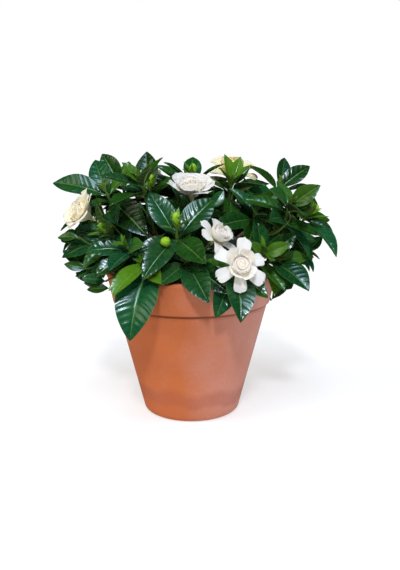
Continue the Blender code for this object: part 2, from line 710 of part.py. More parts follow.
def blade_solid(name, blade, stations, thickness, material_name, group):
    points, triangles = blade_sheet(blade, stations)
    obj = mesh_object(name, points, triangles, material_name, group)
    shell = obj.modifiers.new("Thickness", "SOLIDIFY")
    shell.thickness = thickness
    shell.offset = 0.0
    return obj


def drop_scraps(mesh):
    """Removes the loose scraps that a union can leave beside its one body."""
    shape = bmesh.new()
    shape.from_mesh(mesh)
    left, bodies = set(shape.verts), []
    while left:
        found, edge = set(), [left.pop()]
        while edge:
            vert = edge.pop()
            found.add(vert)
            near = {e.other_vert(vert) for e in vert.link_edges} & left
            left -= near
            edge += near
        bodies.append(found)
    bodies.sort(key=len)
    bmesh.ops.delete(shape, geom=[v for body in bodies[:-1] for v in body], context="VERTS")
    shape.to_mesh(mesh)
    shape.free()


def fused(name, body, pieces, material_name, solver="MANIFOLD"):
    """One object from overlapping closed pieces, by one Boolean union on their collection."""
    if pieces:
        join = body.modifiers.new("Join", "BOOLEAN")
        join.operation = "UNION"
        join.operand_type = "COLLECTION"
        join.collection = collection(name + "_pieces")
        join.solver = solver
    mesh = evaluated_mesh(body)
    drop_scraps(mesh)
    mesh.name = name
    mesh.materials.clear()
    mesh.materials.append(material(material_name))
    for obj in [body, *pieces]:
        bpy.data.objects.remove(obj)
    if name + "_pieces" in bpy.data.collections:
        bpy.data.collections.remove(bpy.data.collections[name + "_pieces"])
    made = bpy.data.objects.new(name, mesh)
    collection("potted_gardenia").objects.link(made)
    return made


def arc(centre, radius, start, end, steps):
    """Points on an arc in the profile's plane, angles in degrees from the +radius direction."""
    angles = [math.radians(start + (end - start) * k / steps) for k in range(steps + 1)]
    return [(centre[0] + radius * math.cos(a), centre[1] + radius * math.sin(a)) for a in angles]


def wall_radius(height):
    """Outside radius of the pot's body under the rim band."""
    return FOOT_RADIUS + (NECK_RADIUS - FOOT_RADIUS) * height / (POT_HEIGHT - RIM_HEIGHT)


def inner_radius(height):
    if height > POT_HEIGHT - RIM_HEIGHT:
        share = (height - POT_HEIGHT + RIM_HEIGHT) / RIM_HEIGHT
        return RIM_FOOT_RADIUS + (POT_TOP_RADIUS - RIM_FOOT_RADIUS) * share - RIM_WALL
    return wall_radius(height) - WALL


def pot():
    """The clay pot: rim band with a rolled lip, tapering wall, rounded foot and a drain hole."""
    rim_foot = POT_HEIGHT - RIM_HEIGHT
    lip = 0.0035
    top = arc((POT_TOP_RADIUS - lip, POT_HEIGHT - lip), lip, 90, 0, 2)
    band = [(RIM_FOOT_RADIUS, rim_foot + 0.0015), (RIM_FOOT_RADIUS - 0.0015, rim_foot),
            (NECK_RADIUS, rim_foot - 0.0008)]
    foot_centre = (wall_radius(FOOT_ROUNDING) - FOOT_ROUNDING, FOOT_ROUNDING)
    foot = arc(foot_centre, FOOT_ROUNDING, -14, -90, 3)
    inside = [(inner_radius(FLOOR + 0.006) - 0.001, FLOOR + 0.006), (inner_radius(rim_foot), rim_foot),
              (POT_TOP_RADIUS - RIM_WALL, POT_HEIGHT - lip)]
    drain = [(DRAIN_RADIUS, 0.0), (DRAIN_RADIUS, FLOOR), (inner_radius(FLOOR) - 0.008, FLOOR)]
    return turned("pot", top + band + foot + drain + inside, POT_SIDES, "terracotta", "potted_gardenia")


def soil():
    """Potting soil that fills the pot to below the lip, domed a little, with a plain hole for each stem."""
    low = FLOOR + SEAT
    profile = [(0.0, SOIL_TOP + 0.002), (inner_radius(SOIL_TOP) - 0.0012, SOIL_TOP),
               (inner_radius(POT_HEIGHT - RIM_HEIGHT) - 0.0012, POT_HEIGHT - RIM_HEIGHT),
               (inner_radius(low + 0.008) - 0.0024, low + 0.008), (inner_radius(low) - 0.0105, low), (0.0, low)]
    body = turned("soil_body", profile, SOIL_SIDES, "soil", "potted_gardenia")
    body.data.update()
    cutters = []
    for k in range(MAIN_STEMS + 1):
        foot = main_stem_points(k)[0]
        bpy.ops.mesh.primitive_cylinder_add(vertices=8, radius=0.0062 + 2 * SEAT, depth=ROOT_DEPTH + 0.02)
        cutter = bpy.context.active_object
        cutter.name = f"stem_hole_{k}"
        cutter.location = foot + Vector((0, 0, (ROOT_DEPTH + 0.02) / 2 - SEAT))
        cutter.hide_render = True
        cutter.display_type = "WIRE"
        for group in list(cutter.users_collection):
            group.objects.unlink(cutter)
        collection("soil_cutters").objects.link(cutter)
        cutters.append(cutter)
    cut = body.modifiers.new("Stem holes", "BOOLEAN")
    cut.operation = "DIFFERENCE"
    cut.operand_type = "COLLECTION"
    cut.collection = collection("soil_cutters")
    body.name = "soil"
    return body


def wood(k, shoots):
    """One woody stem with the branches that it carries, up to where each turns green."""
    name = f"woody_stem_{k}"
    trunk = tube(name + "_trunk", main_stem_points(k), (0.0058, 0.0056, 0.0046), 6, "bark", "potted_gardenia")
    branches = [tube(f"{name}_{s.name}", s.path[0:5:2], (0.0042, 0.0036, 0.0028), 4, "bark", name + "_pieces")
                for s in shoots if s.stem == k]
    return fused(name, trunk, branches, "bark", "EXACT")


def shoot_solid(shoot):
    """A green stem with its leaves, and the calyx and sepals where it carries a bloom."""
    name = "shoot_" + shoot.name
    stem = tube(name + "_stem", shoot.line, (0.0026, 0.0024, 0.0020), 4, "leaf", "potted_gardenia")
    pieces = [blade_solid(f"{name}_leaf_{i}", b, leaf_stations(b), LEAF_THICK, "leaf", name + "_pieces")
              for i, b in enumerate(shoot.blades)]
    return fused(name, stem, pieces, "leaf")


def bloom_solid(shoot, rng):
    """A bloom's petals, heart and tube, seated on the end of its shoot."""
    name = shoot.name + "_bloom"
    stem = aim(*shoot.lean)
    heart, frame, petals = bloom_petals(shoot, rng)
    foot = Vector(shoot.tip) + stem * SEAT
    core = tube(name + "_core", [foot, foot + stem * (TUBE * 0.7), heart + stem * 0.004, heart + stem * 0.012],
                (0.0019, 0.0026, HEART_RADIUS, 0.0034), 6, shoot.colour, "potted_gardenia")
    pieces = []
    for i, petal in enumerate(petals):
        stations = PETAL_STATIONS if i < PETAL_WHORLS[0][0] else SHORT_PETAL_STATIONS
        piece = blade_solid(f"{name}_petal_{i}", petal, stations, PETAL_THICK, shoot.colour, name + "_pieces")
        pieces.append(piece)
    return fused(name, core, pieces, shoot.colour)


def bud_solid(shoot, rng):
    """A closed green bud with its ring of narrow sepals, seated on the end of its shoot."""
    name = shoot.name + "_bud"
    stem = aim(*shoot.lean)
    frame = facing(stem, shoot.turn)
    foot = Vector(shoot.tip) + stem * SEAT
    axis = [foot + stem * height for _, height in BUD_PROFILE]
    body = tube(name + "_body", axis, [radius for radius, _ in BUD_PROFILE], 6, "bud", "potted_gardenia")
    blades = sepals(foot + stem * SEPAL_HEIGHT, frame, SEPAL_LENGTH, SEPAL_RISE, rng)
    pieces = [blade_solid(f"{name}_{i}", b, SEPAL_STATIONS, PETAL_THICK, "bud", name + "_pieces")
              for i, b in enumerate(blades)]
    return fused(name, body, pieces, "bud")


def lay_out():
    """The whole plan: blooms and buds, then stems, then leaves, each clear of what stands already."""
    rng = random.Random(7)
    obstacles = Obstacles()
    shoots = FRONT_SHOOTS + crown_shoots(rng)
    for shoot in shoots:
        stem = aim(*shoot.lean)
        foot = Vector(shoot.tip) + stem * SEAT
        if shoot.end == "bloom":
            heart, _, petals = bloom_petals(shoot, random.Random(shoot.name))
            core = [foot, foot.lerp(heart, 0.7), heart, heart + stem * 0.012]
            obstacles.add(shoot.name + "_bloom", *tube_skin(core, HEART_RADIUS * 0.7))
            for petal in petals:
                obstacles.add(shoot.name + "_bloom", *skin(petal, PETAL_STATIONS))
            if heart.y < FRONT_HALF:
                obstacles.views.append((heart + stem * 0.014 + FRONT * 0.010, shoot.bloom_size * 0.55))
        if shoot.end == "bud":
            obstacles.add(shoot.name + "_bud", *tube_skin([foot, foot + stem * 0.022], 0.0066))
            frame, root = facing(stem, shoot.turn), foot + stem * SEPAL_HEIGHT
            for sepal in sepals(root, frame, SEPAL_LENGTH, SEPAL_RISE, random.Random(shoot.name)):
                obstacles.add(shoot.name + "_bud", *skin(sepal, SEPAL_STATIONS))
    lay_stems(shoots, obstacles)
    lay_leaves(shoots, obstacles)
    return shoots


def main():
    fresh_scene()
    shoots = lay_out()
    pot()
    soil()
    for k in range(MAIN_STEMS + 1):
        wood(k, shoots)
    for shoot in shoots:
        shoot_solid(shoot)
        if shoot.end == "bloom":
            bloom_solid(shoot, random.Random(shoot.name))
        if shoot.end == "bud":
            bud_solid(shoot, random.Random(shoot.name))
    asked = sum(len(s.leaves) for s in shoots)
    placed = sum(len(s.blades) for s in shoots)
    print(f"{len(shoots)} shoots, {placed} leaves of {asked}")


main()
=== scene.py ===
"""Potted gardenia: the finish of a clay pot, its soil and bark, and the fine leaves, petals and buds.

Metres, +Z up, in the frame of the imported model. Headings are degrees round the vertical, 0 along +X
and 90 along +Y; rises are degrees above level. The plant's plan is worked out again here with the
model's own rules and seeds, so that each fine piece lies where its solid is.
"""

import math
import random
from dataclasses import dataclass, field, replace

import bmesh
import bpy
import numpy as np
from mathutils import Matrix, Vector, noise
from mathutils.bvhtree import BVHTree


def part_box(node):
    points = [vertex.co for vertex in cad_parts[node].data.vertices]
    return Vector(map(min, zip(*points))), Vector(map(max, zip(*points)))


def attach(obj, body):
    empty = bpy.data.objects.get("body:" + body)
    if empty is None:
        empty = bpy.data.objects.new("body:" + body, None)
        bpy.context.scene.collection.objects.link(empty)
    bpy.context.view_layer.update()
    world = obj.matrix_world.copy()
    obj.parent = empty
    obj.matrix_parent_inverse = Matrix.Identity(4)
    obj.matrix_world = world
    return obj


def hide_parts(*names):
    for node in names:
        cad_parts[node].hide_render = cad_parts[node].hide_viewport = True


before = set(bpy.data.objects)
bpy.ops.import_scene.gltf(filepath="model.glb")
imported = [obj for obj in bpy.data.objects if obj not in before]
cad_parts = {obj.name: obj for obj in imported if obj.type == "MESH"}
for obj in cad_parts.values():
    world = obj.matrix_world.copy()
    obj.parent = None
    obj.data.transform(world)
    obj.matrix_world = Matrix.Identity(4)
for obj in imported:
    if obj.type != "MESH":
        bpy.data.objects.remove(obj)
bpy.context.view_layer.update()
POT_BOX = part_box("pot")

bl_info = {
    "name": "Potted Gardenia",
    "version": (1, 0, 0),
    "blender": (4, 5, 0),
    "location": "3D View > Sidebar > Gardenia",
    "description": "Dresses a potted gardenia with fine leaves, blooms, buds, bark, soil and a clay pot",
    "category": "Object",
}

# Sizes of the pot and soil, in metres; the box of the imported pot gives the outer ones
POT_HEIGHT = round(POT_BOX[1].z, 4)
POT_TOP_RADIUS = round(POT_BOX[1].x, 4)  # outside, at the lip
RIM_HEIGHT = 0.047
RIM_FOOT_RADIUS = 0.1170  # outside, at the lower edge of the rim band
NECK_RADIUS = 0.1130  # outside, just under the rim band
FOOT_RADIUS = 0.0700  # outside, where the wall would meet the ground
FOOT_ROUNDING = 0.011
WALL = 0.0095
RIM_WALL = 0.0125
FLOOR = 0.012
DRAIN_RADIUS = 0.012
SEAT = 0.0003  # gap left between pieces that touch
SOIL_TOP = 0.194
ROOT_DEPTH = 0.050
LARGE_LEAF = 0.068  # from this length up a leaf is tried at more stations
LEAF_THICK = 0.0009  # of the solid leaf, which the fine one stays inside
CLEARANCE = 0.00055  # kept round a blade, beyond half its thickness
HEART_RADIUS = 0.0080  # of the wrapped heart of a bloom
TUBE = 0.016  # a bloom's tube, from its calyx to the heart of the bloom


# ---------------------------------------------------------------- directions and blades


def aim(heading, rise):
    """Unit vector with this heading and rise, in degrees."""
    turn, climb = math.radians(heading), math.radians(rise)
    return Vector((math.cos(turn) * math.cos(climb), math.sin(turn) * math.cos(climb), math.sin(climb)))


def heading_rise(direction):
    """The heading and rise of a direction, in degrees."""
    level = math.hypot(direction.x, direction.y)
    return math.degrees(math.atan2(direction.y, direction.x)), math.degrees(math.atan2(direction.z, level))


@dataclass
class Blade:
    """A leaf, petal or sepal: a midrib that bends evenly from root to tip, with a folded or cupped blade."""

    root: Vector
    chord: Vector  # unit vector from root to tip
    face: Vector  # the way the upper side looks, made square to the chord
    length: float
    width: float
    arch: float = 35.0  # degrees that the midrib bends by, root to tip, away from the upper side
    fold: float = 14.0  # degrees that each half rises from the midrib
    cup: float = 0.0  # rise of the margins, as a share of the half width
    wave: float = 0.0
    phase: float = 0.0
    age: float = 0.0  # 0 old and dark, 1 young and light
    shape: str = "leaf"

    def __post_init__(self):
        self.face = (self.face - self.chord * self.face.dot(self.chord)).normalized()
        self.side = self.face.cross(self.chord)


def leaf_stations(blade):
    """Rows of a leaf's plain surface."""
    return LEAF_STATIONS if blade.length > LARGE_LEAF else SHORT_LEAF_STATIONS


def half_width(shape, s):
    """Half width of a blade at s along it, as a share of its widest half width."""
    if shape == "leaf":
        blade = max(0.0, (s - 0.07) / 0.93)
        return max(0.055 * (1 - s), math.sin(math.pi * blade**0.92) ** 0.86 * (1 - 0.10 * blade**5))
    if shape == "petal":
        widening = 0.26 + 0.74 * math.sin(math.pi * 0.56 * s**0.9) ** 1.4
        return widening if s < 0.86 else 0.99 - 2.6 * (s - 0.84)
    if shape == "fine petal":
        widest = 0.78
        widening = 0.40 + 0.60 * math.sin(math.pi * 0.56 * min(s, widest) ** 0.9) ** 1.3
        return widening * max(0.02, 1 - (max(0.0, s - widest) / 0.223) ** 3.0) ** 0.5
    return max(0.0, 1 - 0.55 * s) if s < 1 else 0.0


def blade_point(blade, s, t, lift=0.0):
    """The point of the blade at s from root to tip and t from its right margin, -1, to its left, 1."""
    bend = math.radians(blade.arch)
    if abs(bend) < 1e-4:
        along, rise, slope = blade.length * s, 0.0, 0.0
    else:
        slope = bend / 2 - bend * s
        along = blade.length * (math.sin(bend / 2) - math.sin(slope)) / bend
        rise = blade.length * (math.cos(slope) - math.cos(bend / 2)) / bend
    fold = math.radians(blade.fold)
    half = blade.width / 2 * half_width(blade.shape, s)
    ripple = blade.wave * blade.width * t * t * math.sin(7.0 * s + blade.phase + (1.3 if t > 0 else 0.0))
    raised = half * (abs(t) * math.sin(fold) + blade.cup * t * t) + ripple + lift
    along, rise = along - raised * math.sin(slope), rise + raised * math.cos(slope)
    return blade.root + blade.chord * along + blade.face * rise + blade.side * (half * t * math.cos(fold))


# Rows of a blade's plain surface, as place along it and points across, and where those points are
LEAF_STATIONS = ((0.0, 1), (0.24, 3), (0.52, 3), (0.79, 3), (1.0, 1))
SHORT_LEAF_STATIONS = ((0.0, 1), (0.30, 3), (0.68, 3), (1.0, 1))
PETAL_STATIONS = ((0.0, 1), (0.38, 3), (0.76, 3), (1.0, 2))
SEPAL_STATIONS = ((0.0, 1), (0.35, 2), (1.0, 1))
COLUMNS = {1: (0.0,), 2: (-1.0, 1.0), 3: (-1.0, 0.0, 1.0)}


def blade_sheet(blade, stations, lift=0.0):
    """(points, triangles) of the blade's open surface, alike for any lift, so that two lifts never cross."""
    points, rows = [], []
    for s, columns in stations:
        rows.append([len(points) + i for i in range(columns)])
        points += [blade_point(blade, s, t, lift) for t in COLUMNS[columns]]
    triangles = []
    for near, far in zip(rows, rows[1:]):
        i = j = 0
        while i < len(near) - 1 or j < len(far) - 1:
            near_next = COLUMNS[len(near)][i + 1] if i < len(near) - 1 else math.inf
            far_next = COLUMNS[len(far)][j + 1] if j < len(far) - 1 else math.inf
            if near_next < far_next or (near_next == far_next and i > j):
                triangles.append((near[i], far[j], near[i + 1]))
                i += 1
            else:
                triangles.append((near[i], far[j], far[j + 1]))
                j += 1
    return points, triangles


# ---------------------------------------------------------------- what a leaf has to stay clear of

# Room that leaves and the axes of stems keep from the pot
POT_ROOM = 0.0012
STEM_POT_ROOM = 0.005
# Room that is kept free round the axes of stems, a little more where one is tried than where it stands
TRUNK_ROOM = 0.0062
BRANCH_ROOM, BRANCH_TRIED = 0.0044, 0.0046
GREEN_ROOM, GREEN_TRIED = 0.0030, 0.0034


def ball_round(points):
    """(centre, radius) of a ball that holds all the points."""
    centre = sum(points, Vector()) / len(points)
    return centre, max((p - centre).length for p in points)


class Obstacles:
    """Triangle trees of what stands already, each with its node's name, and the spaces kept open."""

    def __init__(self):
        self.placed = []
        self.views = []  # (start, radius) of the spaces kept open toward the front

    def add(self, node, points, triangles):
        self.placed.append((node, *ball_round(points), BVHTree.FromPolygons(points, triangles)))

    def blocked(self, points, triangles, node):
        """The name of a node in the way, other than this one, or nothing."""
        centre, reach = ball_round(points)
        tree = BVHTree.FromPolygons(points, triangles)
        for other, middle, size, standing in self.placed:
            if other != node and (centre - middle).length < reach + size and tree.overlap(standing):
                return other
        return ""


def in_view(point, views):
    """True if the point stands in one of the spaces kept open toward the front."""
    for start, radius in views:
        ahead = (point - start).dot(FRONT)
        if 0 < ahead < OPEN_SPACE and (point - start - FRONT * ahead).length < radius:
            return True
    return False


def in_pot(point, spare):
    """True if the point is in the pot's wall or the soil, or nearer to them than spare."""
    radius = math.hypot(point.x, point.y)
    if point.z > POT_HEIGHT + spare:
        return False
    share = min(1.0, max(0.0, (point.z - POT_HEIGHT + RIM_HEIGHT) / RIM_HEIGHT))
    outside = RIM_FOOT_RADIUS + (POT_TOP_RADIUS - RIM_FOOT_RADIUS) * share
    inside = outside - RIM_WALL - spare
    return radius < outside + spare and not (point.z > SOIL_TOP + 0.004 + spare and radius < inside)


def skin(blade, stations):
    """Both faces of a blade, moved out by the clearance, as (points, triangles)."""
    away = LEAF_THICK / 2 + CLEARANCE
    upper, triangles = blade_sheet(blade, stations, away)
    lower, _ = blade_sheet(blade, stations, -away)
    count = len(upper)
    return upper + lower, triangles + [tuple(i + count for i in t) for t in triangles]


def in_the_way(blade, stations, node, obstacles, from_s=0.0):
    """What the blade would cross: the pot, an open view, another node, or nothing."""
    for k in range(1, 13):
        s = k / 12
        if s < from_s:
            continue
        for t in (-1, -0.5, 0, 0.5, 1):
            point = blade_point(blade, s, t)
            if in_pot(point, POT_ROOM):
                return "pot"
            if in_view(point, obstacles.views):
                return "view"
    return obstacles.blocked(*skin(blade, stations), node)


# ---------------------------------------------------------------- the plant's plan


@dataclass
class Shoot:
    """A leafy shoot. Leaves are (mm below the tip, heading, rise, length mm, width mm, age)."""

    name: str
    tip: tuple
    lean: tuple  # heading and rise of the stem at its tip
    leaves: list = field(default_factory=list)
    end: str = ""  # bud, bloom or nothing
    bloom_size: float = 0.036
    open_rise: float = 10.0  # of the outer petals from the bloom's own level, 0 wide open
    colour: str = "white_petal"
    turn: float = 0.0
    to_front: float = 0.9  # how far its leaves look to the front
    blades: list = field(default_factory=list)
    path: list = field(default_factory=list)
    line: list = field(default_factory=list)
    stem: int = 0


FRONT_SHOOTS = [
    Shoot("front", (-0.019, -0.080, 0.288), (-100, 74), [
        (16, 152, 58, 78, 34, 0.0), (17, 32, 48, 80, 40, 0.0), (20, 136, 40, 88, 36, 0.0),
        (21, 50, 34, 84, 36, 0.0), (18, -129, -34, 88, 36, 0.1), (20, -60, -16, 80, 37, 0.0),
        (24, -160, -10, 62, 28, 0.0),
    ], "bud"),
    Shoot("front_low", (-0.004, -0.096, 0.244), (-80, 30), [
        (6, -42, -24, 84, 36, 0.0), (9, -66, -30, 84, 40, 0.0), (10, -10, -2, 58, 27, 0.0),
        (12, -130, -22, 60, 28, 0.1), (16, 150, 10, 56, 26, 0.0),
    ]),
    Shoot("rim_left", (-0.062, -0.092, 0.240), (-120, 20), [
        (14, -112, -55, 118, 60, 0.0), (5, -126, -26, 78, 30, 0.8), (12, -150, -26, 68, 28, 0.8),
        (8, -62, -24, 60, 25, 0.7), (22, 176, -16, 62, 28, 0.0), (2, -84, 14, 42, 19, 0.6),
        (18, -20, -8, 56, 25, 0.1),
    ]),
    Shoot("left_high", (-0.124, 0.000, 0.328), (175, 62), [
        (5, 160, 10, 93, 38, 0.0), (9, 118, 44, 76, 34, 0.0), (14, -150, -8, 46, 22, 0.2),
        (6, 40, 40, 50, 24, 0.4), (12, -50, -26, 104, 44, 0.0), (24, -80, -24, 62, 30, 0.0),
    ]),
    Shoot("top_left", (-0.062, 0.036, 0.332), (-70, 76), [
        (17, 98, 62, 84, 42, 0.0), (14, 2, 28, 68, 29, 0.0), (14, 176, 40, 50, 23, 0.6),
        (20, 50, 26, 70, 32, 0.0), (16, -100, 4, 60, 29, 0.0), (24, -30, -14, 66, 30, 0.0),
    ], "bud"),
    Shoot("left_back", (-0.104, 0.040, 0.336), (130, 66), [
        (5, 135, 46, 70, 34, 0.0), (8, 84, 52, 58, 27, 0.4), (12, -56, -6, 58, 27, 0.0),
        (18, -165, 14, 62, 29, 0.0), (22, 20, 26, 58, 27, 0.1), (26, -100, -30, 66, 30, 0.0),
    ]),
    Shoot("left_low", (-0.116, -0.038, 0.273), (-160, 46), [
        (9, 172, -22, 84, 34, 0.0), (12, 158, 8, 66, 30, 0.0), (16, -148, -34, 66, 29, 0.1),
        (9, -100, 10, 52, 25, 0.2), (24, -120, -44, 62, 29, 0.1), (28, -70, -24, 58, 27, 0.0),
    ], "bud"),
    Shoot("bloom_right", (0.061, -0.122, 0.237), (-80, 22), [
        (18, -84, -50, 84, 42, 0.0), (20, -128, -40, 70, 34, 0.0), (22, -36, -28, 62, 30, 0.1),
        (16, 165, 6, 46, 22, 0.3),
    ], "bloom", 0.033, 6, "white_petal", 20.0),
    Shoot("bloom_middle", (0.024, -0.072, 0.260), (-40, 42), [
        (18, 60, 30, 60, 28, 0.0), (24, -150, 2, 52, 24, 0.0),
    ], "bloom", 0.030, 16, "white_petal", 60.0),
    Shoot("left_middle", (-0.088, -0.072, 0.258), (-130, 44), [
        (5, -176, 14, 58, 27, 0.0), (6, -62, 16, 52, 25, 0.3), (10, -112, -14, 64, 30, 0.0),
        (12, 120, 26, 60, 28, 0.0), (15, -28, -24, 60, 28, 0.0), (17, -152, -32, 64, 30, 0.0),
    ]),
    Shoot("right_middle", (0.094, -0.008, 0.300), (-60, 64), [
        (4, 148, 40, 56, 27, 0.1), (4, 30, 40, 54, 26, 0.2), (6, -92, 8, 64, 31, 0.0),
        (12, -146, -6, 70, 32, 0.0), (12, -34, -12, 64, 30, 0.0), (16, 88, 24, 66, 31, 0.0),
        (22, -104, -34, 66, 31, 0.0),
    ]),
    Shoot("top_middle", (0.002, 0.070, 0.346), (90, 80), [
        (12, -152, 36, 60, 28, 0.1), (12, -28, 32, 62, 29, 0.2), (14, 92, 40, 66, 31, 0.0),
        (16, 170, 14, 68, 31, 0.0), (15, 12, 14, 66, 30, 0.0), (20, -60, -4, 62, 29, 0.0),
    ], "bud"),
    Shoot("right_low", (0.100, -0.064, 0.248), (-60, 66), [
        (8, 118, 74, 60, 28, 0.0), (3, -130, 36, 38, 18, 0.6), (3, -20, 26, 44, 21, 0.5),
        (4, -78, 0, 42, 23, 0.4), (9, 6, 36, 62, 28, 0.0), (14, 60, 42, 54, 25, 0.0),
        (20, -50, -30, 58, 28, 0.2),
    ]),
    Shoot("rim_right", (0.120, -0.046, 0.234), (-25, 8), [
        (8, -46, -32, 78, 44, 0.0), (4, 8, 6, 54, 23, 0.5), (12, -80, -34, 56, 27, 0.7),
        (14, 24, -26, 60, 22, 0.0), (16, 70, -4, 52, 25, 0.0), (20, -110, -26, 52, 25, 0.0),
    ]),
    Shoot("right_high", (0.140, -0.026, 0.312), (-30, 70), [
        (3, -10, 36, 54, 29, 0.3), (3, 110, 42, 52, 27, 0.3), (4, -130, 32, 56, 29, 0.2),
        (10, 50, 20, 64, 31, 0.0), (10, 170, 14, 66, 31, 0.0), (11, -76, 2, 66, 33, 0.0),
        (30, -42, -44, 68, 20, 0.0), (24, -120, -26, 66, 31, 0.0),
    ]),
    Shoot("right_far", (0.172, 0.008, 0.294), (-10, 46), [
        (13, -56, -30, 88, 35, 0.0), (9, 62, 36, 52, 27, 0.0), (9, 10, 20, 46, 25, 0.1),
        (10, -24, -6, 48, 25, 0.0), (16, 120, 24, 58, 28, 0.0), (9, -110, 12, 44, 21, 0.4),
    ], "bud"),
    Shoot("right_back", (0.134, 0.056, 0.334), (50, 68), [
        (4, 74, 46, 62, 27, 0.0), (6, 24, 32, 64, 31, 0.0), (8, 140, 32, 68, 31, 0.1),
        (14, -30, 12, 58, 28, 0.0), (16, -140, 4, 66, 31, 0.0),
    ]),
    Shoot("top_right", (0.060, 0.044, 0.336), (-60, 74), [
        (3, 150, 54, 50, 22, 0.8), (3, 50, 56, 50, 22, 0.8), (4, -30, 46, 48, 21, 0.7),
        (5, -120, 40, 50, 22, 0.7), (11, -45, 10, 72, 33, 0.1), (12, -160, 20, 70, 32, 0.2),
        (16, 20, 20, 68, 31, 0.0), (22, -90, -22, 66, 31, 0.0),
    ]),
    Shoot("bloom_top", (0.000, 0.004, 0.308), (-80, 66), [
        (16, 176, 0, 60, 28, 0.0), (18, 14, -4, 64, 30, 0.0), (22, -60, -14, 64, 30, 0.0),
    ], "bloom", 0.037, 42, "white_petal", 0.0),
    Shoot("bloom_left", (-0.136, -0.012, 0.286), (-150, 32), [
        (16, 150, -8, 60, 28, 0.0), (20, -120, -30, 58, 28, 0.0),
    ], "bloom", 0.036, 40, "cream_petal", 40.0),
    Shoot("bloom_back", (0.062, 0.096, 0.334), (-80, 68), [
        (16, 110, 14, 66, 30, 0.0), (18, 20, 8, 66, 30, 0.0), (22, 160, 4, 60, 28, 0.0),
    ], "bloom", 0.038, 16, "cream_petal", 15.0),
    Shoot("bloom_rear", (-0.062, 0.118, 0.314), (112, 42), [
        (16, 150, 0, 66, 30, 0.0), (18, 60, -6, 66, 30, 0.0), (22, -150, 10, 60, 28, 0.0),
    ], "bloom", 0.036, 8, "white_petal", 30.0),
    Shoot("bloom_rear_low", (0.104, 0.112, 0.258), (70, 20), [
        (16, 30, -14, 66, 30, 0.0), (18, 110, -18, 66, 30, 0.0),
    ], "bloom", 0.034, 22, "white_petal", 50.0),
]

CROWN_HEART = Vector((0, 0, 0.231))
FRONT = aim(-90, 14)
EYE_DISTANCE = 1.1  # of someone who looks at the plant, from its middle
VIEWER = CROWN_HEART + aim(-90, 10) * EYE_DISTANCE
FRONT_HALF = 0.04  # blooms nearer the front than this Y show their faces to it
OPEN_SPACE = 0.075  # kept clear of leaves in front of each bloom that faces the front

# Rings of ordinary shoots that fill the crown where no shoot above stands:
# radius, height, count, first heading, rise of the stem
CROWN_RINGS = (
    (0.020, 0.348, 2, 100.0, 84.0),
    (0.086, 0.342, 6, 40.0, 74.0),
    (0.150, 0.304, 10, 12.0, 50.0),
    (0.126, 0.242, 9, 30.0, 30.0),
)
FRONT_LIMIT = -0.045  # the shoots nearer the front than this Y are all listed
CROWN_DEPTH = 0.76  # of the crown front to back, against its width
SHOOT_SPACING = 0.054
# Whorls of an ordinary shoot, from its tip down:
# mm below the tip, leaves, angle from the stem, length mm, width mm, age
WHORLS = (
    (3, 2, 34, 44, 21, 0.55),
    (7, 3, 62, 66, 31, 0.12),
    (18, 3, 84, 74, 34, 0.0),
)
BUD_EVERY = 4
BUD_ROOM = 10  # mm that the leaves stand lower on a shoot that ends in a bud
MAIN_STEMS = 6  # in a ring round one more in the middle
MAIN_RING = 0.036
MAIN_FIRST = 30  # heading of the first one
MAIN_FORK_HEIGHT = 0.218
MIDDLE_REACH = 0.062  # shoots nearer the pot's axis than this grow from the middle stem


def crown_shoots(rng):
    """Ordinary shoots on rings over the crown, where they have room beside the listed shoots."""
    made = []
    for ring, (radius, height, count, first, rise) in enumerate(CROWN_RINGS):
        for k in range(count):
            heading = first + 360 / count * k + rng.uniform(-6, 6)
            place = aim(heading, 0) * (radius + rng.uniform(-0.004, 0.004))
            place.y *= CROWN_DEPTH
            tip = Vector((place.x, place.y, height + rng.uniform(-0.006, 0.006)))
            standing = [Vector(s.tip) for s in FRONT_SHOOTS + made]
            if tip.y < FRONT_LIMIT or min((tip - other).length for other in standing) < SHOOT_SPACING:
                continue
            shoot = Shoot(f"crown_{ring}_{k}", tuple(tip), (heading, rise))
            shoot.to_front = 0.0
            shoot.end = "bud" if len(made) % BUD_EVERY == 1 else ""
            shoot.leaves = whorled_leaves(shoot, rng, WHORLS)
            made.append(shoot)
    return made


def whorled_leaves(shoot, rng, whorls):
    """Leaves in whorls round the stem's own direction, each whorl turned from the one above."""
    stem = aim(*shoot.lean)
    across = stem.cross(Vector((0, 0, 1))).normalized()
    other = stem.cross(across)
    leaves = []
    turn = rng.uniform(0, 360)
    room = BUD_ROOM if shoot.end == "bud" else 0
    for down, count, opening, length, width, age in whorls:
        for k in range(count):
            angle = math.radians(turn + 360 / count * k + rng.uniform(-9, 9))
            open_angle = math.radians(opening + rng.uniform(-8, 8))
            round_stem = across * math.cos(angle) + other * math.sin(angle)
            heading, rise = heading_rise(stem * math.cos(open_angle) + round_stem * math.sin(open_angle))
            rise = max(-46.0, min(68.0, rise))
            size = rng.uniform(0.88, 1.14)
            leaves.append((down + room + 2 * k, heading, rise, length * size, width * size, age))
        turn += 180 / count + rng.uniform(-10, 10)
    return leaves


def stem_path(shoot, foot, sideways, raised):
    """Points from the fork to the shoot's tip, on a curve that arrives along the shoot's lean."""
    tip = Vector(shoot.tip)
    reach = (tip - foot).length
    bend = tip - aim(*shoot.lean) * (0.42 * reach)
    swing = Vector((-foot.y, foot.x, 0)).normalized() * sideways if foot.xy.length > 1e-6 else Vector()
    rise = foot + Vector((foot.x, foot.y, 0)) * 0.2 + Vector((0, 0, 0.30 * reach + raised)) + swing
    points = []
    for k in range(9):
        t = k / 8
        a, b = foot.lerp(rise, t), rise.lerp(bend, t)
        c = bend.lerp(tip, t)
        points.append(a.lerp(b, t).lerp(b.lerp(c, t), t))
    return points


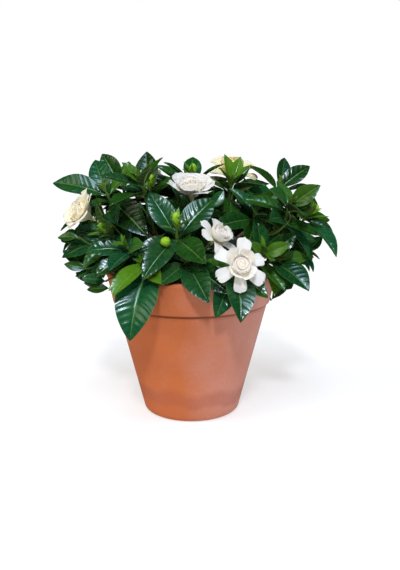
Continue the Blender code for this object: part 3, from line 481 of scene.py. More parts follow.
def tube_skin(points, radius, sides=6):
    """A plain tube round a line of points, as (points, triangles), for the clearance tests."""
    ring_points, triangles = [], []
    for i, p in enumerate(points):
        ahead = (points[min(i + 1, len(points) - 1)] - points[max(i - 1, 0)]).normalized()
        u = ahead.orthogonal().normalized()
        v = ahead.cross(u)
        for k in range(sides):
            turn = k * math.tau / sides
            ring_points.append(p + (u * math.cos(turn) + v * math.sin(turn)) * radius)
    for a, b, c, d in ring_faces(len(points), sides):
        triangles += [(a, b, c), (a, c, d)]
    return ring_points, triangles


def main_stem_points(k):
    """Axis of woody stem k, from its root in the soil to its fork. The last one stands in the middle."""
    if k == MAIN_STEMS:
        foot, lean = Vector((0.002, 0.004, 0)), Vector()
    else:
        foot = aim(MAIN_FIRST + 360 / MAIN_STEMS * k, 0) * MAIN_RING
        lean = foot * 0.30
    low, high = SOIL_TOP - ROOT_DEPTH, MAIN_FORK_HEIGHT
    return [foot + Vector((0, 0, low)), foot + Vector((0, 0, SOIL_TOP)), foot + lean + Vector((0, 0, high))]


def nearest_main_stem(shoot):
    """Number of the woody stem that a shoot grows from."""
    tip = Vector(shoot.tip)
    if tip.xy.length < MIDDLE_REACH:
        return MAIN_STEMS
    heading = math.degrees(math.atan2(tip.y, tip.x))
    return round((heading - MAIN_FIRST) / (360 / MAIN_STEMS)) % MAIN_STEMS


def green_line(shoot):
    """The green stem's points: it starts clear of the woody end's face, and ends along the shoot's lean."""
    wood_end, tip = shoot.path[4], Vector(shoot.tip)
    middle = tip - aim(*shoot.lean) * (0.45 * (tip - wood_end).length)
    ahead, before = (middle - wood_end).normalized(), (wood_end - shoot.path[2]).normalized()
    return [wood_end + ahead * (SEAT + GREEN_TRIED * ahead.cross(before).length), middle, tip]


# Sideways swing and extra height, in metres, of a stem's path, the smallest first
STEM_TRIES = sorted(
    [(side / 1000, up / 1000)
     for up in (0, 12, -12, 24, -22)
     for side in (0, 12, -12, 24, -24, 38, -38, 54, -54)],
    key=lambda t: abs(t[0]) + abs(t[1]),
)


def lay_stems(shoots, obstacles):
    """Gives each shoot a path from its main stem, clear of the branches of the other main stems."""
    for k in range(MAIN_STEMS + 1):
        obstacles.add(f"wood_{k}", *tube_skin(main_stem_points(k), TRUNK_ROOM))
    for shoot in shoots:
        shoot.stem = nearest_main_stem(shoot)
        fork = main_stem_points(shoot.stem)[-1] - Vector((0, 0, 0.004))
        for sideways, raised in STEM_TRIES:
            path = stem_path(shoot, fork, sideways, raised)
            inside = any(in_pot(p, STEM_POT_ROOM) for p in path[1:])
            woody = obstacles.blocked(*tube_skin(path[:5], BRANCH_TRIED), f"wood_{shoot.stem}")
            green = obstacles.blocked(*tube_skin(path[4:8], GREEN_TRIED), shoot.name)
            if not inside and not woody and not green:
                break
        else:
            print(f"{shoot.name} found no clear path for its stem")
        shoot.path = path
        shoot.line = green_line(shoot)
        obstacles.add(f"wood_{shoot.stem}", *tube_skin(path[:5:2], BRANCH_ROOM))
        obstacles.add(shoot.name, *tube_skin(shoot.line, GREEN_ROOM))


def point_below_tip(line, distance):
    """The point that lies this far down the green stem from its tip."""
    for near, far in zip(reversed(line), reversed(line[:-1])):
        step = (far - near).length
        if distance <= step:
            return near.lerp(far, distance / step)
        distance -= step
    return line[0].lerp(line[1], 0.2)


# Turn and lift in degrees, and share of its size, that a leaf can take to stay clear,
# the smallest change first
LEAF_TRIES = sorted(
    [(turn, lift, size)
     for turn in (0, 7, -7, 15, -15, 24, -24, 34, -34)
     for lift in (0, 7, -7, 15, -15, 24, -24, 34)
     for size in (1.0, 0.88, 0.76)],
    key=lambda t: abs(t[0]) / 10 + abs(t[1]) / 10 + (1 - t[2]) * 9,
)


def leaf_face(middle, toward_front):
    """The way a leaf's upper side looks: out of the crown and up, and to the front by toward_front."""
    outward = (middle - CROWN_HEART).normalized()
    return outward + Vector((0, 0, 0.5)) + FRONT * toward_front


def lay_leaves(shoots, obstacles, tries, allowed=None):
    """Turns, lifts or shortens each leaf until it is clear, and drops one that finds no room."""
    for shoot in shoots:
        rng = random.Random(shoot.name + " leaves")
        for down, heading, rise, length, width, age in shoot.leaves:
            root = point_below_tip(shoot.line, down / 1000) + aim(heading, 0) * 0.0012
            arch = rng.uniform(16, 34) - 10 * age + max(0, -20 - rise) * 1.2
            fold = rng.uniform(12, 22) + 6 * age
            tilt = Vector((rng.uniform(-0.2, 0.2), rng.uniform(-0.2, 0.2), 0))
            wave, phase = rng.uniform(0.010, 0.026), rng.uniform(0, 6.28)
            for turn, lift, size in tries:
                chord = aim(heading + turn, rise + lift)
                face = leaf_face(root + chord * length / 2000, shoot.to_front) + tilt
                long, wide = length * size / 1000, width * size / 1000
                blade = Blade(root, chord, face, long, wide, arch, fold, 0.0, wave, phase, age)
                if allowed and not allowed(blade):
                    continue
                if not in_the_way(blade, leaf_stations(blade), shoot.name, obstacles, 0.1):
                    shoot.blades.append(blade)
                    obstacles.add(shoot.name, *skin(blade, leaf_stations(blade)))
                    break


# ---------------------------------------------------------------- blooms and buds


def facing(direction, turn):
    """Axes of a bloom or bud: its own +Z along the direction, turned about it."""
    return (direction.to_track_quat("Z", "Y").to_matrix()) @ Matrix.Rotation(math.radians(turn), 3, "Z")


# Whorls of a bloom, outside in:
# petals, rise above the outer ones, length and width as shares of the bloom's size, arch, cup, first turn
PETAL_WHORLS = (
    (6, 0, 1.00, 0.46, 34, 0.08, 0.0),
    (4, 44, 0.72, 0.56, -38, 0.30, 28.0),
)
MOST_UPRIGHT = 64  # degrees that a petal may rise above the bloom's own level


def bloom_petals(shoot, rng):
    """Blades of a double bloom, from its spreading outer petals to its wrapped heart."""
    stem = aim(*shoot.lean)
    heart = Vector(shoot.tip) + stem * (SEAT + TUBE)
    axes = facing(stem, shoot.turn)
    petals = []
    broad = 1 + shoot.open_rise / 200  # the petals of a bloom that stays a cup are broader
    for row, (count, rise, length, width, arch, cup, first) in enumerate(PETAL_WHORLS):
        for k in range(count):
            size = shoot.bloom_size * rng.uniform(0.90, 1.08)
            heading = first + 360 / count * k + rng.uniform(-8, 8)
            chord = axes @ aim(heading, min(shoot.open_rise + rise, MOST_UPRIGHT) + rng.uniform(-9, 7))
            outward, sideways = axes @ aim(heading, 0), axes @ aim(heading + 90, 0)
            face = stem - outward * 0.9 + sideways * rng.uniform(-0.2, 0.2)
            root = heart + stem * (0.0022 * row) + outward * HEART_RADIUS * 0.55
            bend, wave = arch + rng.uniform(-8, 8), 0.02 if row == 0 else 0.0
            petals.append(Blade(root, chord, face, size * length, size * width * broad, bend, 0.0, cup,
                                wave, rng.uniform(0, 6.28), 0.0, "petal"))
    return heart, axes, petals


SEPALS = 5
SEPAL_RISE = 64  # degrees from a bud's own level
SEPAL_LENGTH = 0.015
SEPAL_WIDTH = 0.0032
SEPAL_HEIGHT = 0.004  # of the sepals' roots above the bud's foot


def sepals(place, axes, length, spread, rng):
    """Long narrow sepals that stand round a bud or under a bloom."""
    made = []
    for k in range(SEPALS):
        heading = 360 / SEPALS * k + rng.uniform(-8, 8)
        outward = axes @ aim(heading, 0)
        chord = axes @ aim(heading, spread + rng.uniform(-8, 8))
        face = axes @ Vector((0, 0, 1)) - outward
        size = length * rng.uniform(0.85, 1.15)
        arch = rng.uniform(10, 40)
        made.append(Blade(place + outward * 0.0016, chord, face, size, SEPAL_WIDTH, arch, shape="sepal"))
    return made


def lay_out():
    """The whole plan: blooms and buds, then stems, then leaves, each clear of what stands already."""
    rng = random.Random(7)
    obstacles = Obstacles()
    shoots = FRONT_SHOOTS + crown_shoots(rng)
    for shoot in shoots:
        stem = aim(*shoot.lean)
        foot = Vector(shoot.tip) + stem * SEAT
        if shoot.end == "bloom":
            heart, _, petals = bloom_petals(shoot, random.Random(shoot.name))
            core = [foot, foot.lerp(heart, 0.7), heart, heart + stem * 0.012]
            obstacles.add(shoot.name + "_bloom", *tube_skin(core, HEART_RADIUS * 0.7))
            for petal in petals:
                obstacles.add(shoot.name + "_bloom", *skin(petal, PETAL_STATIONS))
            if heart.y < FRONT_HALF:
                obstacles.views.append((heart + stem * 0.014 + FRONT * 0.010, shoot.bloom_size * 0.55))
        if shoot.end == "bud":
            obstacles.add(shoot.name + "_bud", *tube_skin([foot, foot + stem * 0.022], 0.0066))
            axes, root = facing(stem, shoot.turn), foot + stem * SEPAL_HEIGHT
            for sepal in sepals(root, axes, SEPAL_LENGTH, SEPAL_RISE, random.Random(shoot.name)):
                obstacles.add(shoot.name + "_bud", *skin(sepal, SEPAL_STATIONS))
    lay_stems(shoots, obstacles)
    lay_leaves(shoots, obstacles, LEAF_TRIES)
    return shoots, obstacles


# ---------------------------------------------------------------- inner shoots, which only the finish has

# Shells that the inner shoots end on: share of the crown's size, and places tried on it
INNER_SHELLS = ((0.40, 34), (0.60, 70), (0.78, 110), (0.92, 150))
CROWN_MIDDLE = Vector((0, 0, 0.262))
CROWN_SIZE = Vector((0.180, 0.146, 0.106))
CROWN_REACH = Vector((0.196, 0.160, 0.122))  # of the furthest point of an inner leaf
INNER_SPACING = 0.0165  # kept between the tips of inner shoots and from those of the others
INNER_BLOOM_SPACING = 0.034  # kept between an inner shoot's tip and a bloom's
INNER_WHORLS = ((1, 3, 46, 47, 21, 0.15), (7, 4, 76, 62, 28, 0.0))
INNER_TRIES = [t for t in LEAF_TRIES if t[0] % 2 == 0 or t[1] % 2 == 0][:60]


def blade_tree(leafy, blooming):
    """Tree of the leaves of some shoots and the petals of some, which the inner shoots grow behind."""
    blades = [(blade, leaf_stations(blade)) for shoot in leafy for blade in shoot.blades]
    for shoot in blooming:
        if shoot.end == "bloom":
            _, _, petals = bloom_petals(shoot, random.Random(shoot.name))
            blades += [(blade, PETAL_STATIONS) for blade in petals]
    points, triangles = [], []
    for blade, stations in blades:
        sheet, faces = blade_sheet(blade, stations, 0.0)
        triangles += [tuple(i + len(points) for i in face) for face in faces]
        points += sheet
    return BVHTree.FromPolygons(points, triangles)


def looks_back(shoot):
    """True if the shoot leans to the back of the plant."""
    return aim(*shoot.lean).y > 0


def inside_crown(blade, outer):
    """True if the blade keeps within the crown and hides none of the outer leaves from the front."""
    for s in (0.25, 0.5, 0.75, 1.0):
        for t in (-0.8, 0, 0.8):
            point = blade_point(blade, s, t)
            away = point - CROWN_MIDDLE
            if sum((away[k] / CROWN_REACH[k]) ** 2 for k in range(3)) > 1:
                return False
            if hides(point, outer):
                return False
    return True


def inner_shoots(shoots, rng):
    """Short side shoots inside the crown, on shells of it, each on a twig from the nearest branch."""
    made = []
    branches = [p for s in shoots for p in s.path[1:7]]
    for share, count in INNER_SHELLS:
        for k in range(count):
            height = 1 - (k + 0.5) / count * 1.62
            turn = k * math.pi * (3 - math.sqrt(5))
            level = math.sqrt(max(0.0, 1 - height * height))
            outward = Vector((math.cos(turn) * level, math.sin(turn) * level, height))
            astray = Vector([rng.uniform(-0.006, 0.006) for _ in range(3)])
            tip = CROWN_MIDDLE + outward * CROWN_SIZE * share + astray
            if tip.z < POT_HEIGHT - 0.012 or in_pot(tip, 0.008):
                continue
            near = min((tip - Vector(s.tip)).length for s in shoots + made)
            blooms = min((tip - Vector(s.tip)).length for s in shoots if s.end == "bloom")
            if near < INNER_SPACING or blooms < INNER_BLOOM_SPACING:
                continue
            heading, rise = heading_rise(outward + Vector((0, 0, 0.5)))
            shoot = Shoot(f"inner_{len(made)}", tuple(tip), (heading, rise))
            shoot.to_front = 0.5
            shoot.leaves = whorled_leaves(shoot, rng, INNER_WHORLS)
            fork = min(branches, key=lambda p: (p - (tip - outward * 0.045)).length)
            bend = tip - aim(heading, rise) * (0.5 * (tip - fork).length)
            shoot.line = [fork, bend, tip]
            made.append(shoot)
    return made


# Sides that the crown is looked at from: heading, rise, shift of the lines to the right and up in steps,
# and whether a leaf set for it stays behind the listed leaves and in front of the rear blooms
GAP_SIDES = (
    (-90, 10, 0, 0, True),
    (-90, 10, 0.5, 0.5, True),
    (-90, 10, 0.5, 0, True),
    (-90, 10, 0, 0.5, True),
    (-64, 12, 0, 0, True),
    (-116, 12, 0.5, 0.5, True),
    (0, 14, 0, 0, False),
    (180, 14, 0.5, 0.5, False),
    (90, 14, 0, 0, False),
)
GAP_STEP = 0.0055  # between two lines of sight, halfway
BEFORE_BLOOM = 0.012  # between a leaf and the bloom behind it, whose back it hides
GAP_EDGE = 0.93  # share of the crown's reach past which the background shows between the leaves
GAP_PLACES = (0.62, 0.38, 0.82, 0.14, -0.12)  # how far past the middle of its line a leaf is tried
# Turn in degrees and share of its size that a leaf is tried with
GAP_TRIES = [(turn, size) for size in (1.0, 0.78, 0.56) for turn in (0, 30, -30)]


def lines_of_sight(heading, rise, right, higher):
    """The lines that look through the crown from one side, each as its two ends in the crown."""
    to_eye = aim(heading, rise)
    across = to_eye.cross(Vector((0, 0, -1))).normalized()
    up = to_eye.cross(across)
    eye = to_eye * EYE_DISTANCE
    shrink = [1 / (CROWN_REACH[k] * GAP_EDGE) for k in range(3)]
    start = Vector([eye[k] * shrink[k] for k in range(3)])
    steps = int(0.2 / GAP_STEP)
    lines = []
    for j in range(-steps, steps + 1):
        for i in range(-steps, steps + 1):
            ahead = (across * (i + right) * GAP_STEP + up * (j + higher) * GAP_STEP - eye).normalized()
            way = Vector([ahead[k] * shrink[k] for k in range(3)])
            inside = start.dot(way) ** 2 - way.dot(way) * (start.dot(start) - 1)
            if inside <= 0:
                continue
            half = math.sqrt(inside) / way.dot(way)
            middle = CROWN_MIDDLE + eye - ahead * (start.dot(way) / way.dot(way))
            near, far = middle - ahead * half, middle + ahead * half
            if not any(in_pot(near.lerp(far, k / 20), 0.002) for k in range(-4, 25)):
                lines.append((near, far))
    return lines, across, up


def gap_leaf(near, far, across, up, rng, allowed, name, obstacles):
    """A leaf deep in the crown that closes one line of sight, or nothing if none fits."""
    ahead = (far - near).normalized()
    for place in GAP_PLACES:
        middle = near.lerp(far, 0.5 + place / 2)
        away = middle - CROWN_MIDDLE + Vector((0, 0, 0.05))
        angle = math.atan2(away.dot(up), away.dot(across)) + rng.uniform(-0.6, 0.6)
        face = Vector((0, 0, rng.uniform(0.1, 0.7))) - ahead + across * rng.uniform(-0.4, 0.4)
        length, width, arch = rng.uniform(0.058, 0.078), rng.uniform(0.028, 0.034), rng.uniform(8, 30)
        fold, wave, phase = rng.uniform(12, 24), rng.uniform(0.010, 0.026), rng.uniform(0, 6.28)
        for turn, size in GAP_TRIES:
            lean = angle + math.radians(turn)
            chord = (across * math.cos(lean) + up * math.sin(lean) + ahead * 0.15).normalized()
            root = middle - chord * (length * size * 0.5)
            blade = Blade(root, chord, face, length * size, width * size, arch, fold, 0.0, wave, phase, 0.1)
            if allowed(blade) and not in_the_way(blade, leaf_stations(blade), name, obstacles):
                return blade
    return None


def hides(point, leaves):
    """True if a point is in front of some of the leaves, as seen from the front."""
    return leaves.ray_cast(point, (point - VIEWER).normalized(), 0.30)[0] is not None


def twig_line(branches, root, outer, listed):
    """Line of a twig from a branch to a leaf's foot that meets and hides no leaf, or nothing."""
    for fork in sorted(branches, key=lambda p: (p - root).length)[:40]:
        bend = fork.lerp(root, 0.5) - Vector((0, 0, 0.006))
        halves = ((fork, bend), (bend, root))
        if any(outer.ray_cast(a, (b - a).normalized(), (b - a).length)[0] for a, b in halves):
            continue
        if not any(hides(a.lerp(b, share), listed) for a, b in halves for share in (0.35, 0.65, 1.0)):
            return [fork, bend, root]
    return None


def gap_shoots(shoots, obstacles, outer, rng):
    """Leaves on twigs of their own that close the lines of sight through the crown, as its many leaves do."""
    trees = [blade_tree(shoots, [s for s in shoots if not looks_back(s)])]
    rear_blooms = blade_tree([], [s for s in shoots if looks_back(s)])
    listed = blade_tree(FRONT_SHOOTS, [s for s in FRONT_SHOOTS if not looks_back(s)])
    branches = [p for s in shoots for p in s.path[1:7]]
    made = []
    for heading, rise, right, higher, behind in GAP_SIDES:
        lines, across, up = lines_of_sight(heading, rise, right, higher)
        for near, far in lines:
            ahead = (far - near).normalized()
            start, length = near - ahead * 0.2, (far - near).length + 0.4
            back = rear_blooms.ray_cast(start, ahead, length)[0]
            if back and behind:
                length = (back - start).length
                far = back - ahead * BEFORE_BLOOM
            if any(tree.ray_cast(start, ahead, length)[0] for tree in trees):
                continue
            name = f"inner_gap_{len(made)}"
            spared = listed if behind else outer
            blade = gap_leaf(near, far, across, up, rng, lambda b: inside_crown(b, spared), name, obstacles)
            line = twig_line(branches, blade.root, outer, listed) if blade else None
            if not line:
                continue
            obstacles.add(name, *skin(blade, leaf_stations(blade)))
            sheet, faces = blade_sheet(blade, leaf_stations(blade))
            trees.append(BVHTree.FromPolygons(sheet, faces))
            shoot = Shoot(name, tuple(blade.root), heading_rise(blade.chord), blades=[blade])
            shoot.line = line
            made.append(shoot)
    return made


# ---------------------------------------------------------------- meshes

SHARP_ANGLE = 50.0  # degrees between two faces past which their edge stays sharp
PLAIN_TONE = (0, 0, 0, 1)


class Surface:
    """Points and faces of many parts, with a place across and along each blade and its tone, for one mesh."""

    def __init__(self):
        self.points, self.faces, self.slots, self.across, self.tones = [], [], [], [], []
        self.count = 0

    def add(self, points, faces, slots=None, across=None, tone=PLAIN_TONE):
        """Adds one part: points, faces, the faces' material slots, and the points' places and tones."""
        count = len(points)
        self.points.append(np.asarray(points, float))
        self.faces += [tuple(int(i) + self.count for i in face) for face in faces]
        self.slots += [0] * len(faces) if slots is None else list(slots)
        self.across.append(np.zeros((count, 2)) if across is None else np.asarray(across, float))
        self.tones.append(np.broadcast_to(np.asarray(tone, float), (count, 4)))
        self.count += count

    def sheet(self, upper, lower, places, tone, under=0):
        """Adds a closed sheet between two like grids of points; its lower side has the slot under."""
        points, faces, below = closed_grid(upper, lower)
        places, tones = (np.broadcast_to(grid, (*upper.shape[:2], wide)).reshape(-1, wide)
                         for grid, wide in ((places, 2), (tone, 4)))
        slots = [under * k for k in below]
        self.add(points, faces, slots, np.concatenate([places, places]), np.concatenate([tones, tones]))

    def piece(self, name, materials, slot, *nodes):
        """Makes the object, lets it ride on the plant's body and stand for the CAD nodes named."""
        mesh = bpy.data.meshes.new(name)
        mesh.from_pydata(np.concatenate(self.points).tolist(), [], self.faces)
        for each in materials:
            mesh.materials.append(each)
        mesh.polygons.foreach_set("material_index", np.array(self.slots, np.int32))
        corners = np.empty(len(mesh.loops), np.int32)
        mesh.loops.foreach_get("vertex_index", corners)
        places = mesh.uv_layers.new(name="blade")
        places.data.foreach_set("uv", np.concatenate(self.across)[corners].astype(np.float32).ravel())
        tones = mesh.color_attributes.new("tone", "FLOAT_COLOR", "POINT")
        tones.data.foreach_set("color", np.concatenate(self.tones).astype(np.float32).ravel())
        mesh.shade_smooth()
        mesh.set_sharp_from_angle(angle=math.radians(SHARP_ANGLE))
        made = bpy.data.objects.new(name, mesh)
        bpy.context.scene.collection.objects.link(made)
        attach(made, "root")
        if nodes:
            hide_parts(*nodes)
        return made


def ring_faces(rings, sides, first=0, inward=False):
    """Faces between rings of points that follow one another from the point numbered first."""
    faces = []
    for i in range(rings - 1):
        for n in range(sides):
            near, beside = (first + i * sides + k % sides for k in (n, n + 1))
            far, across = near + sides, beside + sides
            faces.append((near, far, across, beside) if inward else (near, beside, across, far))
    return faces


def capped_rings(rings, sides):
    """Faces of rings that follow one another, closed by two last points, at the first ring and the last."""
    faces, end = ring_faces(rings, sides), rings * sides
    for n in range(sides):
        m = (n + 1) % sides
        faces += [(end, m, n), (end + 1, end - sides + n, end - sides + m)]
    return faces


def closed_grid(upper, lower):
    """Points and faces of a closed body between two (rows, columns, 3) grids, and 1 for each face below."""
    rows, columns = upper.shape[:2]
    count = rows * columns
    points = np.concatenate([upper.reshape(-1, 3), lower.reshape(-1, 3)])
    i, j = (a.ravel() for a in np.meshgrid(np.arange(rows - 1), np.arange(columns - 1), indexing="ij"))
    a, b = i * columns + j, (i + 1) * columns + j
    top = np.stack([a, b, b + 1, a + 1], 1)
    under = np.stack([a, a + 1, b + 1, b], 1) + count
    i, j = np.arange(rows - 1) * columns, np.arange(columns - 1)
    low = np.stack([i, i + count, i + columns + count, i + columns], 1)
    high = np.stack([i + columns, i + columns + count, i + count, i], 1) + columns - 1
    root = np.stack([j, j + 1, j + 1 + count, j + count], 1)
    tip = np.stack([j + count, j + 1 + count, j + 1, j], 1) + (rows - 1) * columns
    faces = np.concatenate([top, under, low, high, root, tip])
    return points, faces, [0] * len(top) + [1] * len(under) + [0] * (len(faces) - 2 * len(top))


def blade_points(blade, s, t, lift):
    """blade_point for whole arrays of s, t and lift at once."""
    bend = math.radians(blade.arch) or 1e-4
    slope = bend / 2 - bend * s
    along = blade.length * (math.sin(bend / 2) - np.sin(slope)) / bend
    rise = blade.length * (np.cos(slope) - math.cos(bend / 2)) / bend
    fold = math.radians(blade.fold)
    half = blade.width / 2 * np.vectorize(half_width)(blade.shape, s)
    ripple = blade.wave * blade.width * t * t * np.sin(7.0 * s + blade.phase + np.where(t > 0, 1.3, 0.0))
    raised = half * (np.abs(t) * math.sin(fold) + blade.cup * t * t) + ripple + lift
    along, rise = along - raised * np.sin(slope), rise + raised * np.cos(slope)
    level = half * t * math.cos(fold)
    root, chord, face, side = (np.array(v) for v in (blade.root, blade.chord, blade.face, blade.side))
    return root + along[..., None] * chord + rise[..., None] * face + level[..., None] * side


def mirrored(*half):
    """Places across a blade, from its right margin, -1, to its left, 1, from those of one half."""
    return np.array([-t for t in reversed(half)] + list(half))


LEAF_COLUMNS = mirrored(0.045, 0.12, 0.28, 0.48, 0.68, 0.86, 1)  # close together at the midrib
FEW_COLUMNS = mirrored(0.06, 0.36, 0.72, 1)
PETIOLE = 0.10  # share of a leaf's length
VEIN_SWEEP = 0.20  # how far toward the tip a side vein runs by the margin, as a share of the leaf's length
VEIN_SPACING = 0.0104  # metres between side veins on a full-grown leaf
FULL_WIDTH = 0.034  # of a leaf whose veins stand out in full, by the sizes in metres below
QUILT = 0.00125  # height of the blade between two side veins
GROOVE_DEPTH = 0.00030  # of the midrib on the upper side
RIB_HEIGHT = 0.00075  # of the midrib on the lower side
MARGIN_THICK = 0.00024  # half the thickness at the margin
MIDDLE_THICKER = 0.00018  # what the middle has beyond that


def leaf(surface, blade, tone, fine=True):
    """One leaf: a quilted blade whose rows run along its side veins, with a sunk midrib."""
    columns = LEAF_COLUMNS if fine else FEW_COLUMNS
    pairs = max(5, round(blade.length / VEIN_SPACING))
    steps = 4 if fine else 2
    blade_rows = PETIOLE + (1 - PETIOLE) * np.linspace(0, 1, pairs * steps + 1)
    row, t = np.meshgrid(np.concatenate([[0.0, PETIOLE / 2], blade_rows]), columns, indexing="ij")
    place = np.clip((row - PETIOLE) / (1 - PETIOLE), 0, 1)
    sweep = VEIN_SWEEP * np.abs(t) ** 1.35 * np.minimum(1, place / 0.18) * (1 - place) ** 0.75
    s = np.clip(row + sweep, 0, 1)
    grown = 1 - 0.65 * blade.age
    uneven = 0.75 + 0.35 * np.sin(2.1 * place * pairs + 9 * tone[1] + 1.2 * t)
    between = np.abs(np.sin(math.pi * place * pairs)) ** 0.85 * uneven
    inner = np.clip((np.abs(t) - 0.05) / 0.20, 0, 1) * (0.25 + 0.75 * np.clip((1 - np.abs(t)) / 0.22, 0, 1))
    ends = np.clip(place / 0.10, 0, 1) * np.clip((1 - place) / 0.12, 0, 1)
    size = min(1.0, blade.width / FULL_WIDTH)
    quilt = QUILT * grown * size * between * inner * ends
    groove = GROOVE_DEPTH * size * np.exp(-((t / 0.06) ** 2)) * (1 - 0.6 * place)
    rib = RIB_HEIGHT * size * np.exp(-((t / 0.10) ** 2)) * (1 - 0.7 * s)
    thick = MARGIN_THICK + MIDDLE_THICKER * (1 - np.abs(t) ** 3)
    upper = blade_points(blade, s, t, thick + quilt - groove)
    lower = blade_points(blade, s, t, -thick + quilt * 0.8 - rib)
    surface.sheet(upper, lower, np.stack([t, place * pairs], -1), tone, under=1)


def smooth_line(points, steps):
    """A smooth curve through the points, as a Catmull-Rom spline."""
    ends = [points[0] * 2 - points[1], *points, points[-1] * 2 - points[-2]]
    made = []
    for a, b, c, d in zip(ends, ends[1:], ends[2:], ends[3:]):
        for k in range(steps):
            x = k / steps
            square, cube = 2 * a - 5 * b + 4 * c - d, 3 * b - a - 3 * c + d
            made.append(0.5 * (2 * b + (c - a) * x + square * x**2 + cube * x**3))
    return made + [points[-1]]


LUMPS = 260  # lumps of a rough stem in a metre


def stalk(surface, line, radii, sides, slot, tone, rough=0.0):
    """A round stem with closed ends along a line, its radius taken from radii and made uneven by rough."""
    points = []
    across = line[0].orthogonal().normalized()
    for k, p in enumerate(line):
        ahead = (line[min(k + 1, len(line) - 1)] - line[max(k - 1, 0)]).normalized()
        across = (across - ahead * across.dot(ahead)).normalized()
        other = ahead.cross(across)
        share = k / (len(line) - 1) * (len(radii) - 1)
        low = min(int(share), len(radii) - 2)
        radius = radii[low] + (radii[low + 1] - radii[low]) * (share - low)
        for n in range(sides):
            turn = n * math.tau / sides
            out = across * math.cos(turn) + other * math.sin(turn)
            points.append(p + out * radius * (1 + rough * noise.noise((p + out * radius) * LUMPS)))
    rings = len(line)
    faces = capped_rings(rings, sides)
    places = [(n / sides, i / rings) for i in range(rings) for n in range(sides)] + [(0, 0), (0, 1)]
    points = [tuple(p) for p in points + [line[0], line[-1]]]
    surface.add(points, faces, [slot] * len(faces), places, tone)


def level_ring(radius, height, sides):
    """Points of a level ring round the +Z axis."""
    turns = [k * math.tau / sides for k in range(sides)]
    return [(radius * math.cos(turn), radius * math.sin(turn), height) for turn in turns]


def lathe(surface, profile, sides):
    """A turned body from a closed profile of (radius, height) points that runs down its outer side."""
    points = [point for radius, height in profile for point in level_ring(radius, height, sides)]
    faces = [[n % len(points) for n in face] for face in ring_faces(len(profile) + 1, sides, inward=True)]
    places = [(i / len(profile), n / sides) for i in range(len(profile)) for n in range(sides)]
    surface.add(points, faces, across=places)


# ---------------------------------------------------------------- materials


def linear(code):
    """Linear red, green, blue and alpha of an sRGB hex colour."""
    channels = [int(code[k:k + 2], 16) / 255 for k in (1, 3, 5)]
    return (*(c / 12.92 if c <= 0.04045 else ((c + 0.055) / 1.055) ** 2.4 for c in channels), 1.0)


def add_node(tree, kind, inputs=None, output=0, **settings):
    """Adds a node with its settings and links, and gives one output. Each input is a value, or a socket."""
    node = tree.nodes.new("ShaderNode" + kind)
    for name, value in settings.items():
        setattr(node, name, value)
    for key, value in (inputs or {}).items():
        if isinstance(value, bpy.types.NodeSocket):
            tree.links.new(value, node.inputs[key])
        else:
            node.inputs[key].default_value = value
    return node.outputs[output] if node.outputs else None


def new_material(name, **sockets):
    """A material with a plain shader whose own sockets are set here, its tree and the shader's inputs."""
    made = bpy.data.materials.new(name)
    made.use_nodes = True
    tree = made.node_tree
    tree.nodes.clear()
    values = {key.replace("_", " "): value for key, value in sockets.items()}
    shader = add_node(tree, "BsdfPrincipled", values)
    add_node(tree, "OutputMaterial", {"Surface": shader})
    return made, tree, shader.node.inputs


def mottle(tree, size, detail=3.0, stretch=(1, 1, 1)):
    """Cloudy pattern in object space, its features this many millimetres across."""
    place = add_node(tree, "TexCoord", output="Object")
    scaled = add_node(tree, "Mapping", {"Vector": place, "Scale": stretch})
    return add_node(tree, "TexNoise", {"Vector": scaled, "Scale": 1000 / size, "Detail": detail})


def layered(tree, colour, layers):
    """Colour over colour. A layer is a mask, its low and high, how far it covers at each, and its colour."""
    for mask, low, high, least, most, over in layers:
        cover = add_node(tree, "MapRange", {0: mask, 1: low, 2: high, 3: least, 4: most})
        colour = add_node(tree, "Mix", {0: cover, 6: colour, 7: over}, 2, data_type="RGBA")
    return colour


def finish(tree, inputs, colour, gloss, grain):
    """Gives a shader its colour, a roughness between two values, and relief of a strength and depth."""
    pattern, smooth, rough = gloss
    height, strength, depth = grain
    dull = add_node(tree, "MapRange", {0: pattern, 1: 0.3, 2: 0.7, 3: smooth, 4: rough})
    bump = add_node(tree, "Bump", {"Height": height, "Strength": strength, "Distance": depth})
    for key, socket in (("Base Color", colour), ("Roughness", dull), ("Normal", bump)):
        tree.links.new(socket, inputs[key])


def blade_marks(tree):
    """Sockets of a blade: place from the midrib, distance from a side vein, then its tone's three parts."""
    split = add_node(tree, "SeparateXYZ", {0: add_node(tree, "UVMap", uv_map="blade")}).node.outputs
    across = add_node(tree, "Math", {0: split[0]}, operation="ABSOLUTE")
    from_vein = add_node(tree, "Math", {0: split[1], 1: 0.5}, operation="PINGPONG")
    tone = add_node(tree, "Attribute", output="Color", attribute_name="tone")
    return across, from_vein, *add_node(tree, "SeparateColor", {0: tone}).node.outputs


